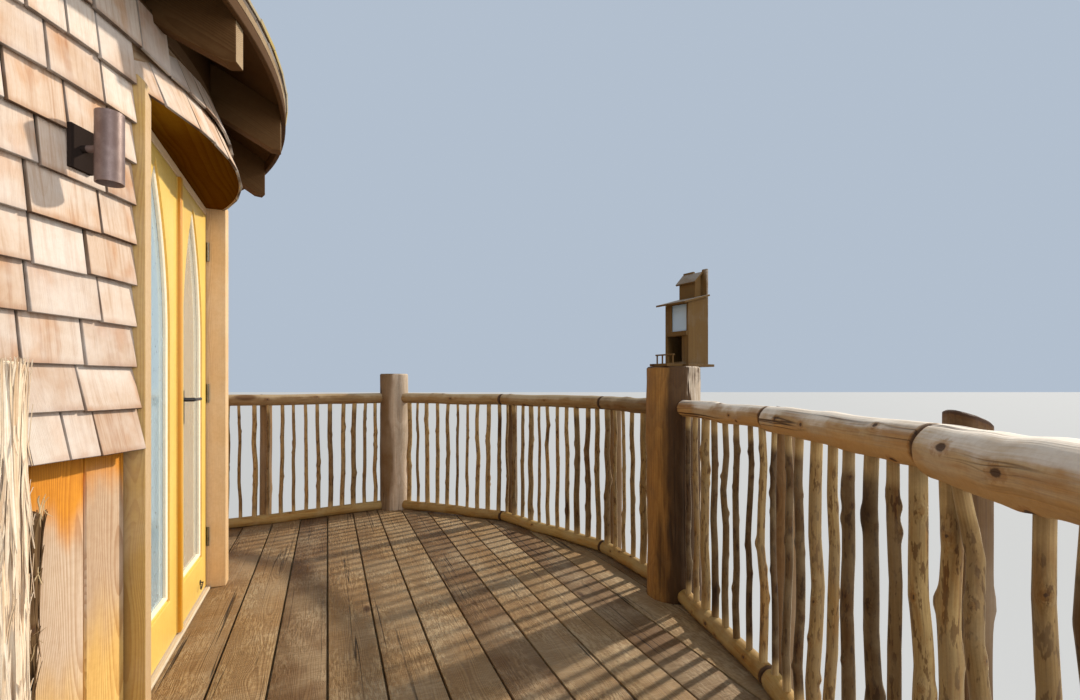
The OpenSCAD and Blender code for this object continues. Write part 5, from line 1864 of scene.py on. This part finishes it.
HOOK_X = 0.445
HOOK_HEIGHT = 0.085
PLATE_R = 0.012
EYE_R = 0.0035
HOOK_R = 0.0025
HOOK_BEND = 0.012
HOOK_REACH = 0.045
HOOK_DROP = 0.020
HOOK_OUT = 0.014


def cabin_hook():
    """A hook that hangs from its eye on a round plate."""
    x, y, z = HOOK_X, LEAF_FRONT, deck_z + HOOK_HEIGHT
    bm = bmesh.new()
    rod(bm, [(x, y - 0.0003, z), (x, y - 0.003, z)], PLATE_R, 24)
    rod(bm, [(x, y - 0.002, z), (x, y - HOOK_OUT - 0.002, z)], EYE_R)
    bend = [(x, y - HOOK_OUT + MM, z + 0.002), (x - HOOK_BEND, y - HOOK_OUT, z - 0.006)]
    for a in [k * math.pi / 8 for k in range(9)]:
        bend.append((x - HOOK_REACH - HOOK_BEND * math.sin(a), y - HOOK_OUT,
                     z - HOOK_DROP - HOOK_BEND * math.cos(a) + HOOK_BEND))
    rod(bm, bend, HOOK_R)
    bmesh.ops.recalc_face_normals(bm, faces=bm.faces[:])
    grain, tone = grain_of(bm, np.random.default_rng(72))
    return add_piece("cabin_hook", to_mesh(bm, "cabin_hook", grain, tone), dark_metal,
                     "right_leaf")


cabin_hook()

# %% [markdown]
# The upper window of the bird house is glazed. The pane is a thin board of glass just behind the front,
# placed by the turn of the bird house about its post.

# %% Pane of the bird house
# The middle and the turn of the bird house, its front, and two corners of its upper window
BIRD_PLACE = (-0.3953, -4.2482)
BIRD_TURN = math.radians(-170)
BIRD_FRONT = -0.075
BIRD_WINDOW = ((-0.040, 0.183), (0.074, 0.327))
PANE_FRONT = 0.008
PANE_BACK = 0.011


def bird_pane():
    """A thin pane behind the upper window of the bird house."""
    sideways = Vector((math.cos(BIRD_TURN), math.sin(BIRD_TURN), 0))
    inward = Vector((-math.sin(BIRD_TURN), math.cos(BIRD_TURN), 0))
    origin = Vector((*BIRD_PLACE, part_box("bird_house")[0].z))
    low, high = BIRD_WINDOW
    bm = bmesh.new()
    made = bmesh.ops.create_cube(bm, size=1.0)
    for vert in made["verts"]:
        x = low[0] if vert.co.x < 0 else high[0]
        y = BIRD_FRONT + (PANE_FRONT if vert.co.y < 0 else PANE_BACK)
        z = low[1] if vert.co.z < 0 else high[1]
        vert.co = origin + sideways * x + inward * y + Vector((0, 0, z))
    bmesh.ops.recalc_face_normals(bm, faces=bm.faces[:])
    grain, tone = grain_of(bm, np.random.default_rng(73))
    return add_piece("bird_pane", to_mesh(bm, "bird_pane", grain, tone), sky_glass)


bird_pane()

# %% [markdown]
# The studio is plain: a pale floor, a key light as sharp and as low as the sun in the photograph, a
# weak fill from behind the camera, and an even sky. The key light shines along the open side of the
# deck; its place comes from the shadow that the lamp throws on the wall.

# %% Studio
def area_light(name, place, target, size, power, colour):
    """A square light that looks at a point."""
    data = bpy.data.lights.new(name, "AREA")
    data.size = size
    data.energy = power
    data.color = colour
    made = bpy.data.objects.new(name, data)
    made.location = place
    made.rotation_euler = (Vector(target) - Vector(place)).to_track_quat("-Z", "Y").to_euler()
    scene.collection.objects.link(made)
    return made


FLOOR = 400.0
floor_mesh = bpy.data.meshes.new("floor")
floor_mesh.from_pydata([(-FLOOR, -FLOOR, 0), (FLOOR, -FLOOR, 0), (FLOOR, FLOOR, 0), (-FLOOR, FLOOR, 0)],
                       [], [(0, 1, 2, 3)])
floor_material, _, floor_shader = new_material("floor")
floor_shader.inputs["Base Color"].default_value = (0.50, 0.50, 0.49, 1)
floor_shader.inputs["Roughness"].default_value = 0.95
floor_mesh.materials.append(floor_material)
floor = bpy.data.objects.new("floor", floor_mesh)
scene.collection.objects.link(floor)
SUN_AZIMUTH = math.radians(-72)
SUN_HEIGHT = math.radians(31)
SUN_WIDTH = math.radians(2.0)
SUN_STRENGTH = 4.2
SKY_STRENGTH = 0.62
toward = Vector((math.cos(SUN_AZIMUTH) * math.cos(SUN_HEIGHT), math.sin(SUN_AZIMUTH) * math.cos(SUN_HEIGHT),
                 math.sin(SUN_HEIGHT)))
key_data = bpy.data.lights.new("key", "SUN")
key_data.energy = SUN_STRENGTH
key_data.angle = SUN_WIDTH
key_data.color = (1.0, 0.92, 0.80)
key = bpy.data.objects.new("key", key_data)
key.rotation_euler = (-toward).to_track_quat("-Z", "Y").to_euler()
scene.collection.objects.link(key)
area_light("fill", (-9.0, -5.0, 6.0), (0, -2.5, 3.0), 6.0, 420, (0.94, 0.95, 1.0))
world = bpy.data.worlds.new("world")
world.use_nodes = True
sky = world.node_tree.nodes["Background"]
sky.inputs["Color"].default_value = (0.72, 0.84, 1.0, 1)
sky.inputs["Strength"].default_value = SKY_STRENGTH
scene.world = world
scene.view_settings.view_transform = "Standard"
